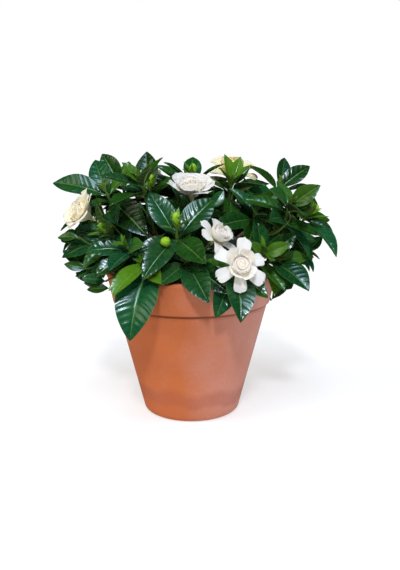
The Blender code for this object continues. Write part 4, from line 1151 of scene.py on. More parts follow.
def leaf_upper(look):
    """Gardenia leaf, upper side: a thick waxed cuticle, deep green and glossy, lighter on young leaves."""
    made, tree, inputs = new_material("gardenia_leaf_waxed_cuticle", IOR=1.46, Coat_Weight=0.42,
                                      Coat_Roughness=0.21, Specular_Tint=linear("#d4f0ff"))
    across, from_vein, age, tone, shift = blade_marks(tree)
    colour = layered(tree, (*look.old_leaf, 1), (
        (tone, 0.0, 1.0, 0.0, 1.0, (*look.mid_leaf, 1)),
        (shift, 0.45, 0.9, 0.0, 0.70, linear("#0b4c31")),
        (age, 0.05, 0.9, 0.0, 1.0, (*look.young_leaf, 1)),
        (mottle(tree, 14), 0.40, 0.75, 0.0, 0.35, linear("#2f6119")),
        (from_vein, 0.01, 0.07, 0.22, 0.0, linear("#4f7c3e")),  # side veins
        (across, 0.010, 0.046, 0.60, 0.0, linear("#709648")),  # midrib
        (across, 0.965, 1.0, 0.0, 0.35, linear("#6c9150")),  # margin
    ))
    finish(tree, inputs, colour, (mottle(tree, 6), 0.22, 0.35), (mottle(tree, 1.6, 2.0), 0.20, 0.0003))
    return made


def leaf_under():
    """Gardenia leaf, lower side: no wax, so paler, greyer and dull, with the veins standing out."""
    made, tree, inputs = new_material("gardenia_leaf_underside", IOR=1.42, Specular_IOR_Level=0.35)
    across, from_vein, age, tone, _ = blade_marks(tree)
    colour = layered(tree, linear("#2a4719"), (
        (age, 0.0, 0.9, 0.0, 1.0, linear("#6f9230")),
        (tone, 0.0, 1.0, 0.0, 0.5, linear("#20381c")),
        (from_vein, 0.03, 0.12, 0.5, 0.0, linear("#728a58")),
        (across, 0.05, 0.11, 0.9, 0.0, linear("#93aa6c")),
    ))
    finish(tree, inputs, colour, (mottle(tree, 5), 0.50, 0.66), (mottle(tree, 1.2, 2.0), 0.3, 0.0003))
    return made


def green_stem():
    """Young gardenia shoot: smooth green skin that turns tawny with age, with a faint sheen."""
    made, tree, inputs = new_material("gardenia_green_stem", IOR=1.42, Specular_IOR_Level=0.4)
    colour = layered(tree, linear("#446b27"), ((mottle(tree, 5), 0.4, 0.7, 0.0, 1.0, linear("#5f6b33")),))
    finish(tree, inputs, colour, (mottle(tree, 3), 0.42, 0.58), (mottle(tree, 1.0), 0.3, 0.0003))
    return made


def bark():
    """Gardenia bark: thin, grey-brown and finely cracked along the stem, so matt."""
    made, tree, inputs = new_material("gardenia_bark", IOR=1.45, Specular_IOR_Level=0.2)
    fibre = mottle(tree, 3, 5.0, (1, 1, 0.25))
    colour = layered(tree, linear("#4a3d2c"), ((fibre, 0.35, 0.65, 0.0, 1.0, linear("#8b7a5e")),))
    finish(tree, inputs, colour, (fibre, 0.95, 0.78), (fibre, 0.7, 0.0008))
    return made


def petal(name, fresh, deep, edge, look):
    """Gardenia petal: thick, soft and waxy white, a little see-through, creamier toward the heart."""
    made, tree, inputs = new_material(
        name, IOR=1.40, Subsurface_Weight=0.55, Subsurface_Scale=0.0036, Subsurface_Radius=(1.0, 0.85, 0.6),
        Sheen_Weight=0.15, Sheen_Roughness=0.5, Specular_IOR_Level=0.35)
    _, _, warmth, tone, lime = blade_marks(tree)
    blotch = add_node(tree, "MapRange", {0: mottle(tree, 7), 1: 0.52, 2: 0.78, 3: 0.0, 4: 0.16})
    aged = add_node(tree, "Math", {0: blotch, 1: tone}, operation="MULTIPLY")
    colour = layered(tree, linear(fresh), (
        (warmth, 0.0, 1.0, 0.0, 1.0, linear(deep)),
        (lime, 0.0, 1.0, 0.0, 1.0, linear("#cfd98a")),
        (aged, 0.0, 1.0, 0.0, 1.0, linear(edge)),
    ))
    place = add_node(tree, "UVMap", uv_map="blade")
    along = add_node(tree, "Mapping", {"Vector": place, "Scale": (1, 0.12, 1)})
    furrow = add_node(tree, "TexNoise", {"Vector": along, "Scale": look.petal_furrows, "Detail": 2.0})
    finish(tree, inputs, colour, (mottle(tree, 4), 0.42, 0.56), (furrow, 0.35, 0.0006))
    return made


def bud_skin():
    """Gardenia bud: tightly furled lime-green petals with a waxy, half-gloss skin."""
    made, tree, inputs = new_material("gardenia_bud_skin", IOR=1.42, Subsurface_Weight=0.2,
                                      Subsurface_Scale=0.002, Specular_IOR_Level=0.45)
    light = blade_marks(tree)[2]
    colour = layered(tree, linear("#4b8210"), (
        (light, 0.0, 1.0, 0.0, 1.0, linear("#98c42c")),
        (mottle(tree, 5), 0.4, 0.75, 0.0, 0.4, linear("#70a51a")),
    ))
    finish(tree, inputs, colour, (mottle(tree, 3), 0.30, 0.45), (mottle(tree, 1.5), 0.2, 0.0003))
    return made


def terracotta(look):
    """Fired earthenware, thrown and left unglazed and matt, with faint bands and a tide mark; its side to +X
    is made paler and pinker with painted light, and the crease under the rim band darker with painted shade.
    """
    made, tree, inputs = new_material("terracotta_unglazed", IOR=1.5, Specular_IOR_Level=0.22)
    place = add_node(tree, "TexCoord", output="Object")
    across, _, height = add_node(tree, "SeparateXYZ", {0: place}).node.outputs
    # painted light: the side to +X is made paler and pinker, as a fill from the right lights it, with a
    # cloudy edge
    side = add_node(tree, "MapRange", {0: across, 1: -0.020, 2: 0.095})
    cloud = add_node(tree, "MapRange", {0: mottle(tree, 60, 4.0), 1: 0.3, 2: 0.7, 3: -0.16, 4: 0.16})
    painted_side_light = add_node(tree, "Math", {0: side, 1: cloud}, operation="ADD")
    # damp from the floor has left a faint darker tide mark low on the body
    ragged = mottle(tree, 45, 2.0, (1, 1, 0.2))
    drift = add_node(tree, "MapRange", {0: ragged, 1: 0.3, 2: 0.7, 3: -0.006, 4: 0.006})
    tide = add_node(tree, "Math", {0: height, 1: drift}, operation="ADD")
    rising = add_node(tree, "MapRange", {0: tide, 1: 0.020, 2: 0.027})
    fading = add_node(tree, "MapRange", {0: tide, 1: 0.052, 2: 0.041})
    damp = add_node(tree, "Math", {0: rising, 1: fading}, operation="MULTIPLY")
    # painted shade: the crease under the rim band is darkened where the band's shadow falls
    below = add_node(tree, "Math", {0: height, 1: POT_HEIGHT - RIM_HEIGHT - 0.0002}, operation="SUBTRACT")
    under_rim_shade = add_node(tree, "Math", {0: below}, operation="ABSOLUTE")
    colour = layered(tree, (*look.clay, 1), (
        (mottle(tree, 70, 3.0, (0.35, 0.35, 1.6)), 0.36, 0.74, 0.0, 0.55, (*look.clay_dark, 1)),
        (painted_side_light, 0.0, 1.0, 0.0, 0.96, (*look.clay_painted_light, 1)),
        (damp, 0.0, 1.0, 0.0, 0.34, linear("#9c5142")),
        (under_rim_shade, 0.0007, 0.0026, 0.85, 0.0, linear("#6e3423")),
        (mottle(tree, 2.2, 2.0), 0.30, 0.72, 0.0, 0.16, linear("#8d4a31")),
    ))
    # clay grit is about 0.5 mm; it is drawn at 1.4 mm, the finest that shows
    finish(tree, inputs, colour, (mottle(tree, 8), 0.80, 0.95), (mottle(tree, 1.4, 4.0), 0.30, 0.0005))
    return made


def potting_soil():
    """Peat and composted bark: near black, crumbly and damp."""
    made, tree, inputs = new_material("potting_soil_peat", IOR=1.4, Specular_IOR_Level=0.25)
    crumb = mottle(tree, 3.5, 6.0)
    colour = layered(tree, linear("#1d140d"), ((crumb, 0.35, 0.7, 0.0, 1.0, linear("#4a3626")),))
    finish(tree, inputs, colour, (crumb, 0.96, 0.80), (crumb, 0.9, 0.0016))
    return made


def light_table():
    """Opal acrylic of a light table: white, even, and lit from below, so that shadows on it stay pale."""
    made, tree, inputs = new_material("opal_acrylic_lit", Specular_IOR_Level=0.1, Roughness=0.9,
                                      Emission_Color=linear("#ffffff"), Emission_Strength=0.56)
    cloud = mottle(tree, 400, 1.0)
    colour = layered(tree, linear("#b3b3b3"), ((cloud, 0.0, 1.0, 0.0, 1.0, linear("#b5b5b5")),))
    tree.links.new(colour, inputs["Base Color"])
    return made


# ---------------------------------------------------------------- settings


def colour_setting(name, description, code):
    """A colour that the user can change, with an sRGB hex default."""
    return bpy.props.FloatVectorProperty(name=name, description=description, subtype="COLOR", size=3,
                                         min=0.0, max=1.0, default=linear(code)[:3])


class GardeniaLook(bpy.types.PropertyGroup):
    """Colours and small sizes of the clay, leaves and petals"""

    clay: colour_setting("Clay", "Colour of the fired clay", "#c26b3d")
    clay_dark: colour_setting("Dark clay", "Colour of the bands fired darker", "#ab5c3c")
    # painted light: the paler, pinker clay of the side to +X, where a fill from the right lights it
    clay_painted_light: colour_setting("Dusty clay", "Colour where salts bloom on the clay", "#cc9587")
    old_leaf: colour_setting("Old leaf", "Colour of the darkest full-grown leaves", "#031504")
    mid_leaf: colour_setting("Leaf", "Colour of the lighter full-grown leaves", "#1a480d")
    young_leaf: colour_setting("Young leaf", "Colour of the newest leaves", "#588512")
    petal_furrows: bpy.props.FloatProperty(
        name="Petal furrows", description="Fine furrows across a petal", default=9.0, min=1.0, max=40.0)
    pot_sides: bpy.props.IntProperty(
        name="Pot sides", description="Faces round the pot", default=160, min=24, max=256)


class GardeniaStage(bpy.types.PropertyGroup):
    """Camera, floor and lights"""

    camera_place: bpy.props.FloatVectorProperty(
        name="Camera", description="Where the camera stands", subtype="TRANSLATION", unit="LENGTH",
        default=(0.0127, -1.09, 0.416))
    camera_dip: bpy.props.FloatProperty(
        name="Dip", description="How far the camera looks down", subtype="ANGLE", default=math.radians(11.7))
    view_angle: bpy.props.FloatProperty(
        name="View angle", description="Vertical angle of view", subtype="ANGLE", default=math.radians(41.9))
    floor_size: bpy.props.FloatProperty(
        name="Floor", description="Radius of the floor", unit="LENGTH", default=9.0, min=1.0)
    sky_light: bpy.props.FloatProperty(
        name="Sky", description="Strength of the light from all round", default=0.06, min=0.0)


# ---------------------------------------------------------------- pieces


def arc(centre, radius, start, end, steps):
    """Points on an arc in the profile's plane, angles in degrees from the +radius direction."""
    angles = [math.radians(start + (end - start) * k / steps) for k in range(steps + 1)]
    return [(centre[0] + radius * math.cos(a), centre[1] + radius * math.sin(a)) for a in angles]


def wall_radius(height):
    """Outside radius of the pot's body under the rim band."""
    return FOOT_RADIUS + (NECK_RADIUS - FOOT_RADIUS) * height / (POT_HEIGHT - RIM_HEIGHT)


def inner_radius(height):
    """Inside radius of the pot at this height."""
    if height > POT_HEIGHT - RIM_HEIGHT:
        share = (height - POT_HEIGHT + RIM_HEIGHT) / RIM_HEIGHT
        return RIM_FOOT_RADIUS + (POT_TOP_RADIUS - RIM_FOOT_RADIUS) * share - RIM_WALL
    return wall_radius(height) - WALL


def straight(start, end, steps):
    """Points between two profile points, without the ends."""
    return [(start[0] + (end[0] - start[0]) * k / steps, start[1] + (end[1] - start[1]) * k / steps)
            for k in range(1, steps)]


def build_pot(look):
    """The clay pot: a turned wall with a rim band, a rolled lip, a rounded foot and a drain hole."""
    rim_foot = POT_HEIGHT - RIM_HEIGHT
    lip, inside_lip, band_round, drain_round = 0.0035, 0.0030, 0.0022, 0.0015
    top = arc((POT_TOP_RADIUS - lip, POT_HEIGHT - lip), lip, 90, 0, 6)
    edge = arc((RIM_FOOT_RADIUS - band_round, rim_foot + band_round), band_round, 0, -90, 5)
    neck = [(NECK_RADIUS + 0.0004, rim_foot + 0.0002), (NECK_RADIUS - 0.0010, rim_foot - 0.0006),
            (NECK_RADIUS - 0.0012, rim_foot - 0.0018), (NECK_RADIUS - 0.0004, rim_foot - 0.0034)]
    foot_centre = (wall_radius(FOOT_ROUNDING) - FOOT_ROUNDING, FOOT_ROUNDING)
    foot = arc(foot_centre, FOOT_ROUNDING, -14, -90, 9)
    drain = [(DRAIN_RADIUS + drain_round, 0.0), (DRAIN_RADIUS, drain_round),
             (DRAIN_RADIUS, FLOOR - drain_round), (DRAIN_RADIUS + drain_round, FLOOR),
             (inner_radius(FLOOR) - 0.008, FLOOR)]
    inside = [(inner_radius(FLOOR + 0.006) - 0.001, FLOOR + 0.006), (inner_radius(rim_foot), rim_foot)]
    rolled = arc((POT_TOP_RADIUS - RIM_WALL + inside_lip, POT_HEIGHT - inside_lip), inside_lip, 180, 90, 5)
    profile = top + straight(top[-1], edge[0], 14) + edge + neck + straight(neck[-1], foot[0], 40) + foot
    profile += straight(foot[-1], drain[0], 6) + drain + inside + straight(inside[-1], rolled[0], 8) + rolled
    surface = Surface()
    lathe(surface, profile, look.pot_sides)
    surface.piece("clay_pot", [terracotta(look)], "terracotta", "pot")


SOIL_RINGS = 44
SOIL_SPOKES = 120
CRUMBS = 420


def soil_height(x, y):
    """Height of the soil's crumbly surface."""
    place = Vector((x, y, 0))
    dome = 0.002 * (1 - min(1.0, math.hypot(x, y) / 0.1))
    return SOIL_TOP + dome + 0.0030 * noise.noise(place * 60) + 0.0016 * noise.noise(place * 210)


def build_soil():
    """The soil down to the pot's floor, with loose crumbs on its lumpy top."""
    surface = Surface()
    reach = inner_radius(SOIL_TOP) - 2 * SEAT
    low = FLOOR + SEAT
    points = [(0, 0, soil_height(0, 0))]
    for ring in range(1, SOIL_RINGS + 1):
        around = level_ring(reach * ring / SOIL_RINGS, 0, SOIL_SPOKES)
        points += [(x, y, soil_height(x, y)) for x, y, _ in around]
    sides = [(inner_radius(POT_HEIGHT - RIM_HEIGHT) - 0.0012, POT_HEIGHT - RIM_HEIGHT),
             (inner_radius(low + 0.008) - 0.0024, low + 0.008), (inner_radius(low) - 0.0105, low)]
    for radius, height in sides:
        points += level_ring(radius, height, SOIL_SPOKES)
    points.append((0, 0, low))
    faces = ring_faces(SOIL_RINGS + len(sides), SOIL_SPOKES, 1, inward=True)
    bottom = len(points) - 1
    for k in range(SOIL_SPOKES):
        after = (k + 1) % SOIL_SPOKES
        faces += [(0, 1 + k, 1 + after), (bottom - SOIL_SPOKES + k, bottom, bottom - SOIL_SPOKES + after)]
    surface.add(points, faces)
    rng = random.Random(11)
    for _ in range(CRUMBS):
        place = aim(rng.uniform(0, 360), 0) * (reach - 0.003) * math.sqrt(rng.random())
        size = rng.uniform(0.0010, 0.0034)
        crumb(surface, Vector((place.x, place.y, soil_height(place.x, place.y) + size * 0.25)), size, rng)
    surface.piece("potting_soil", [potting_soil()], "soil", "soil")


def crumb(surface, place, size, rng):
    """A lump of peat or bark: a small ball pressed and turned at random."""
    ball = bmesh.new()
    bmesh.ops.create_icosphere(ball, subdivisions=1, radius=size)
    squash = Matrix.Diagonal((rng.uniform(0.7, 1.3), rng.uniform(0.6, 1.1), rng.uniform(0.4, 0.8)))
    turn = Matrix.Rotation(rng.uniform(0, math.tau), 3, "Z") @ Matrix.Rotation(rng.uniform(-0.6, 0.6), 3, "X")
    points = [tuple(place + turn @ squash @ v.co * rng.uniform(0.85, 1.15)) for v in ball.verts]
    faces = [[v.index for v in f.verts] for f in ball.faces]
    ball.free()
    surface.add(points, faces)


# Radii from foot to tip of a woody stem, a branch, a green stem and a twig inside the crown
TRUNK_RADII = (0.0058, 0.0056, 0.0046)
BRANCH_RADII = (0.0042, 0.0036, 0.0028)
GREEN_RADII = (0.0026, 0.0024, 0.0020)
TWIG_RADII = (0.0017, 0.0015, 0.0012)


def is_inner(shoot):
    """True for a shoot inside the crown, which only the finish has."""
    return shoot.name.startswith("inner")


def build_wood(plan):
    """One piece for each woody stem and the branches that fork from it."""
    skin_of_stem = bark()
    for k in range(MAIN_STEMS + 1):
        surface = Surface()
        stalk(surface, smooth_line(main_stem_points(k), 10), TRUNK_RADII, 14, 0, PLAIN_TONE, 0.16)
        for shoot in plan:
            if shoot.stem == k and not is_inner(shoot):
                stalk(surface, smooth_line(shoot.path[0:5], 6), BRANCH_RADII, 10, 0, PLAIN_TONE, 0.14)
        surface.piece(f"bark_stem_{k}", [skin_of_stem], "bark", f"woody_stem_{k}")


# Young leaves at a bare tip and under a bud: mm below the tip, leaves, rise, length mm, width mm
TIP_LEAVES = ((0, 3, 70, 17, 5), (1, 3, 58, 25, 8))
BUD_LEAVES = ((5, 3, 62, 30, 8), (9, 3, 44, 36, 10))


def young_tip(surface, shoot, rng):
    """The narrow new leaves that stand at the end of a shoot with no bloom."""
    stem = aim(*shoot.lean)
    axes = facing(stem, rng.uniform(0, 360))
    for down, count, rise, length, width in BUD_LEAVES if shoot.end else TIP_LEAVES:
        for k in range(count):
            heading = 360 / count * k + rng.uniform(-20, 20) + 60 * down
            chord = axes @ aim(heading, rise + rng.uniform(-10, 8))
            face = axes @ Vector((0, 0, 1)) - axes @ aim(heading, 0)
            size = rng.uniform(0.7, 1.2) / 1000
            root = Vector(shoot.tip) - stem * down / 1000
            blade = Blade(root, chord, face, length * size, width * size, rng.uniform(5, 35), 24, age=0.9)
            leaf(surface, blade, (0.85, rng.random(), 0, 1), fine=False)


def build_shoots(plan, looks):
    """One piece for each shoot: its green stem, its leaves and the young leaves at its tip."""
    for shoot in plan:
        rng = random.Random(shoot.name + " finish")
        surface = Surface()
        inner = is_inner(shoot)
        radii = TWIG_RADII if inner else GREEN_RADII
        stalk(surface, smooth_line(shoot.line, 8), radii, 8, 2, (0.3, 0.5, 0, 1), 0.10)
        for blade in shoot.blades:
            leaf(surface, blade, (blade.age, rng.random(), rng.random(), 1), fine=not inner)
        if not inner and shoot.end != "bloom":
            young_tip(surface, shoot, rng)
        nodes = () if inner else ("shoot_" + shoot.name,)
        surface.piece("leafy_shoot_" + shoot.name, looks, "leaf", *nodes)


PETAL_COLUMNS = np.linspace(-1, 1, 11)
PETAL_ROWS = 1 - (1 - np.linspace(0, 1, 19)) ** 1.25
PETAL_THIN = 0.00055  # of a fine petal; the sizes in metres below are of its relief
TIP_CURL = 0.070  # how far a petal's tip may roll back, as a share of its length
RUFFLE = 0.0008
FURROW = 0.00030
CREASE = 0.0007
# Whorls that only the finish has:
# petals, rise, length and width as shares of the bloom's size, arch, cup, first turn
HEART_WHORLS = (
    (5, 26, 0.84, 0.62, 6, 0.20, 30.0),
    (4, 66, 0.60, 0.58, -50, 0.36, 10.0),
)
CUP_RISE = 30.0  # a bloom whose outer petals rise more than this is a full cup, with all the whorls
FULLER = 1.24  # width of a fine petal against the solid one's


def fine_petal(surface, blade, tone, rng):
    """One petal: spoon-shaped with a blunt or pointed tip, a ruffled margin and a thin edge."""
    width, wave = blade.width * FULLER, blade.wave + rng.uniform(0.008, 0.022)
    blade = replace(blade, shape="fine petal", width=width, wave=wave, phase=rng.uniform(0, 6.28))
    row, t = np.meshgrid(PETAL_ROWS, PETAL_COLUMNS, indexing="ij")
    point = rng.uniform(-0.05, 0.10)
    s = row * (1 + point * (1 - np.abs(t)) * row**4 - 0.03 * np.cos(3 * math.pi * t) * row**6)
    curl = TIP_CURL * blade.length * np.clip((row - 0.66) / 0.34, 0, 1) ** 2 * rng.uniform(-0.2, 1.7)
    ruffle = RUFFLE * np.abs(t) ** 2 * row * np.sin(8 * row + 3 * t + rng.uniform(0, 6.28))
    furrow = FURROW * np.cos(5 * math.pi * t) * np.clip(row * 2, 0, 1) * (1 - row * 0.4)
    crease = CREASE * np.exp(-((t / 0.16) ** 2)) * row
    thick = PETAL_THIN * (0.5 - 0.28 * np.abs(t) ** 3) * (1 - 0.35 * row)
    shape = ruffle + furrow - curl - crease
    upper = blade_points(blade, s, t, thick + shape)
    lower = blade_points(blade, s, t, -thick + shape)
    base = np.clip(1 - row / 0.55, 0, 1)
    warm = np.clip(tone[0] + 0.45 * base, 0, 1)
    tones = np.stack([warm, np.full_like(base, tone[1]), 0.55 * base**2, np.ones_like(base)], -1)
    surface.sheet(upper, lower, np.stack([t, row], -1), tones)


ROLL_TURNS = 2.6
ROLL_START = 0.0012  # radius where a heart's roll begins
ROLL_FOOT = 0.002  # height above the heart's place where it begins
ROLL_THICK = 0.00084
ROLL_REACH = 0.31  # radius of a heart's last turn, as a share of the bloom's size
FURL_DEPTH = 0.0021  # of the grooves between the turns of a bloom's heart
FURL_SIDES = 36


def stood(local, foot, axes):
    """Points of a bloom or bud, given from its foot in its own axes, where it stands on the plant."""
    return np.array(foot) + local @ np.array(axes).T


def rolled_heart(surface, heart, axes, size, warmth):
    """The furled middle of a double bloom: one thin sheet wound in a spiral, each turn lower and wider."""
    steps = np.linspace(0, ROLL_TURNS * math.tau, 90)
    turns, heights = np.meshgrid(steps, np.linspace(0, 1, 12), indexing="ij")
    share = turns / (ROLL_TURNS * math.tau)
    outer = ROLL_START + (ROLL_REACH * size - ROLL_START) * share**0.8
    lip = (0.50 * size - 0.10 * size * share**2) + 0.0009 * np.sin(2.3 * turns)
    height = ROLL_FOOT + (lip - ROLL_FOOT) * (heights - 0.10 * heights**8)
    gap = ROLL_REACH * size / ROLL_TURNS
    level = outer * (0.50 + 0.62 * np.sin(math.pi * 0.60 * heights)) + gap * (0.75 * heights**6 - 0.25)
    inside, outside = (
        stood(np.stack([across * np.cos(turns), across * np.sin(turns), height], -1), heart, axes)
        for across in (level - ROLL_THICK / 2, level + ROLL_THICK / 2))
    warm = np.clip(warmth + 0.25 * (1 - heights), 0, 1)
    tones = np.stack([warm, np.full_like(warm, 0.4), 0.1 * (1 - heights), np.ones_like(warm)], -1)
    surface.sheet(inside, outside, np.stack([turns / 3, heights], -1), tones)
    # the furled petals fill the spaces between the turns up to just under the lip
    shares = np.linspace(0, 1, 12)
    level = np.concatenate([0.33 * size * shares, [0.22 * size, 0.0]])
    rise = np.concatenate([0.50 * size - 0.12 * size * shares**2 - FURL_DEPTH, [ROLL_FOOT, ROLL_FOOT]])
    local = [point for radius, height in zip(level, rise) for point in level_ring(radius, height, FURL_SIDES)]
    faces = ring_faces(len(level), FURL_SIDES, inward=True)
    surface.add(stood(np.array(local), heart, axes), faces, tone=(min(1.0, warmth + 0.3), 0.3, 0.05, 1))


def extra_petals(shoot, heart, axes, rng):
    """The inner whorls, cupped round the rolled heart."""
    stem = aim(*shoot.lean)
    made = []
    whorls = HEART_WHORLS if shoot.open_rise > CUP_RISE else HEART_WHORLS[1:]
    for row, (count, rise, length, width, arch, cup, first) in enumerate(whorls):
        for k in range(count):
            size = shoot.bloom_size * rng.uniform(0.92, 1.06)
            heading = first + 360 / count * k + rng.uniform(-7, 7)
            chord = axes @ aim(heading, shoot.open_rise * 0.4 + rise + rng.uniform(-6, 6))
            outward = axes @ aim(heading, 0)
            face = stem - outward * 1.4
            root = heart + stem * (0.003 + 0.001 * row) + outward * HEART_RADIUS * (0.5 - 0.12 * row)
            bend = arch + rng.uniform(-8, 8)
            made.append(Blade(root, chord, face, size * length, size * width, bend, 0.0, cup,
                              0.01, rng.uniform(0, 6.28), 0.0, "petal"))
    return made


# How far a bloom has gone from white to its aged colour, and how far those named here have
FRESH = 0.04
BLOOM_AGE = {"bloom_left": 0.12, "bloom_back": 0.58}
BLOOM_TUBE_RADII = (0.0019, 0.0026, HEART_RADIUS * 0.72, 0.0030)
CALYX_LENGTH = 0.020
CALYX_RISE = 48
CALYX_WIDTH = 0.0030


def build_blooms(plan, skins, green):
    """The tube, petals and rolled heart of each bloom, and its calyx as a piece of its own."""
    for shoot in plan:
        if shoot.end != "bloom":
            continue
        rng = random.Random(shoot.name + " finish")
        surface = Surface()
        stem = aim(*shoot.lean)
        heart, axes, petals = bloom_petals(shoot, random.Random(shoot.name))
        foot = Vector(shoot.tip) + stem * SEAT
        cream = shoot.colour == "cream_petal"
        warmth = BLOOM_AGE.get(shoot.name, FRESH)
        tube = smooth_line([foot, foot + stem * (TUBE * 0.7), heart + stem * 0.001, heart + stem * 0.006], 6)
        stalk(surface, tube, BLOOM_TUBE_RADII, 14, 0, (0.3, 0.3, 0.8, 1))
        for blade in petals + extra_petals(shoot, heart, axes, rng):
            fine_petal(surface, blade, (warmth + rng.uniform(0, 0.12), rng.random() if cream else 0.25), rng)
        rolled_heart(surface, heart + stem * 0.003, axes, shoot.bloom_size, warmth + 0.35)
        surface.piece(shoot.name + "_petals", [skins[shoot.colour]], shoot.colour, shoot.name + "_bloom")
        calyx = Surface()
        for blade in sepals(foot + stem * 0.001, axes, CALYX_LENGTH, CALYX_RISE, rng):
            leaf(calyx, replace(blade, width=CALYX_WIDTH, fold=20), (0.5, rng.random(), 0, 1), fine=False)
        calyx.piece(shoot.name + "_calyx", green, "leaf")


# Radius and height of a bud's body, from its foot up
BUD_SHAPE = ((0.0019, 0.0), (0.0026, 0.0020), (0.0040, 0.0050), (0.0055, 0.0090), (0.0058, 0.0125),
             (0.0052, 0.0160), (0.0038, 0.0188), (0.0020, 0.0205), (0.0007, 0.0210))
BUD_FURLS = 5
BUD_TALL = BUD_SHAPE[-1][1]
BUD_SEPAL_WIDTH = 0.0026
BUD_ROWS, BUD_SIDES = 30, 40
# A short side bud of the front shoot: its place, the way it points, and its share of a bud's width and height
ROUND_BUD_PLACE = Vector((-0.0315, -0.0990, 0.2640))
ROUND_BUD_AIM = (-125, 62)
ROUND_BUD_SHAPE = (1.16, 0.66)
ROUND_BUD_FORK = 0.020  # below the front shoot's tip
ROUND_BUD_STALK = (0.0013, 0.0012, 0.0016)


def furled_bud(surface, foot, axes, wide=1.0, tall=1.0):
    """A bud's pointed body, its petals wound round it in low ridges."""
    heights = np.linspace(0, BUD_TALL, BUD_ROWS)
    radii = np.interp(heights, [h for _, h in BUD_SHAPE], [r for r, _ in BUD_SHAPE])
    h, turn = np.meshgrid(heights, np.arange(BUD_SIDES) * math.tau / BUD_SIDES, indexing="ij")
    furl = np.mod(turn * BUD_FURLS / math.tau + h * 120, 1.0)
    level = radii[:, None] * wide * (1 + 0.10 * (furl - 0.5) * np.clip(h / 0.006, 0, 1))
    local = np.stack([level * np.cos(turn), level * np.sin(turn), h * tall], -1).reshape(-1, 3)
    ends = [(0, 0, 0), (0, 0, (BUD_TALL + 0.0003) * tall)]
    points = stood(np.concatenate([local, ends]), foot, axes)
    light = np.append(0.35 + 0.39 * furl.ravel() + 0.25 * h.ravel() / BUD_TALL, [0.2, 0.9])
    tones = np.stack([light, light, light, np.ones_like(light)], 1)
    surface.add(points, capped_rings(BUD_ROWS, BUD_SIDES), tone=tones)


def build_buds(plan, skin_of_bud):
    """The furled buds at shoot tips, each with its sepals, and the round bud of the front shoot."""
    for shoot in plan:
        if shoot.end != "bud":
            continue
        rng = random.Random(shoot.name)
        surface = Surface()
        stem = aim(*shoot.lean)
        axes = facing(stem, shoot.turn)
        foot = Vector(shoot.tip) + stem * SEAT
        furled_bud(surface, foot, axes)
        for blade in sepals(foot + stem * SEPAL_HEIGHT, axes, SEPAL_LENGTH, SEPAL_RISE, rng):
            slim = replace(blade, width=BUD_SEPAL_WIDTH, length=blade.length * 1.1)
            leaf(surface, slim, (0.4, 0.3, 0, 1), fine=False)
        surface.slots = [0] * len(surface.slots)  # a bud's sepals have its own skin on both sides
        surface.piece("furled_bud_" + shoot.name, [skin_of_bud], "bud", shoot.name + "_bud")
    front = next(shoot for shoot in plan if shoot.name == "front")
    surface = Surface()
    way = aim(*ROUND_BUD_AIM)
    furled_bud(surface, ROUND_BUD_PLACE, facing(way, 0), *ROUND_BUD_SHAPE)
    start = point_below_tip(front.line, ROUND_BUD_FORK)
    twig = [start, start.lerp(ROUND_BUD_PLACE, 0.6) - Vector((0, 0, 0.003)), ROUND_BUD_PLACE + way * 0.002]
    stalk(surface, smooth_line(twig, 6), ROUND_BUD_STALK, 8, 0, (0.1, 0.1, 0, 1))
    surface.piece("round_bud_front", [skin_of_bud], "bud")


# ---------------------------------------------------------------- stage

# Lights: name, direction it comes from as heading and rise, angle across, strength, colour, whether it glints
SUNS = (
    ("front", -92.0, 44.0, 7.0, 1.75, "#f7f9ff", True),
    ("overhead", -98.0, 64.0, 27.0, 1.60, "#dcedff", True),
    ("left", -160.0, 30.0, 26.0, 0.68, "#fff0dd", False),
    ("left_glint", -156.0, 34.0, 24.0, 0.38, "#ffeed2", True),
    ("right", -14.0, 24.0, 26.0, 0.75, "#f6f2ff", False),
    ("back", 80.0, 46.0, 40.0, 0.50, "#ffffff", False),
)


def build_stage(stage):
    """The floor, the lights, the sky and the camera."""
    scene = bpy.context.scene
    board = bmesh.new()
    bmesh.ops.create_circle(board, cap_ends=True, segments=96, radius=stage.floor_size)
    mesh = bpy.data.meshes.new("floor")
    board.to_mesh(mesh)
    board.free()
    mesh.materials.append(light_table())
    floor = bpy.data.objects.new("floor", mesh)
    scene.collection.objects.link(floor)
    floor.visible_glossy = False
    for name, heading, rise, angle, strength, colour, glints in SUNS:
        lamp = bpy.data.lights.new(name, "SUN")
        lamp.energy = strength
        lamp.angle = math.radians(angle)
        lamp.color = linear(colour)[:3]
        light = bpy.data.objects.new(name + "_light", lamp)
        light.rotation_euler = aim(heading, rise).to_track_quat("Z", "Y").to_euler()
        light.visible_glossy = glints
        scene.collection.objects.link(light)
    scene.world = scene.world or bpy.data.worlds.new("studio")
    scene.world.use_nodes = True
    tree = scene.world.node_tree
    tree.nodes.clear()
    seen = add_node(tree, "LightPath", output="Is Camera Ray")
    white = add_node(tree, "Background", {"Color": linear("#ffffff"), "Strength": 1.0})
    soft = add_node(tree, "Background", {"Color": linear("#eaf1fb"), "Strength": stage.sky_light})
    add_node(tree, "OutputWorld", {"Surface": add_node(tree, "MixShader", {0: seen, 1: soft, 2: white})})
    scene.world.cycles_visibility.glossy = False
    scene.view_settings.view_transform = "Standard"
    lens = bpy.data.cameras.new("camera")
    lens.sensor_fit = "VERTICAL"
    lens.angle_y = stage.view_angle
    camera = bpy.data.objects.new("camera", lens)
    camera.location = stage.camera_place
    camera.rotation_euler = (math.pi / 2 - stage.camera_dip, 0, 0)
    scene.collection.objects.link(camera)
    scene.camera = camera


# ---------------------------------------------------------------- operators and panel

_made = {}  # what several operators use, and is worked out once


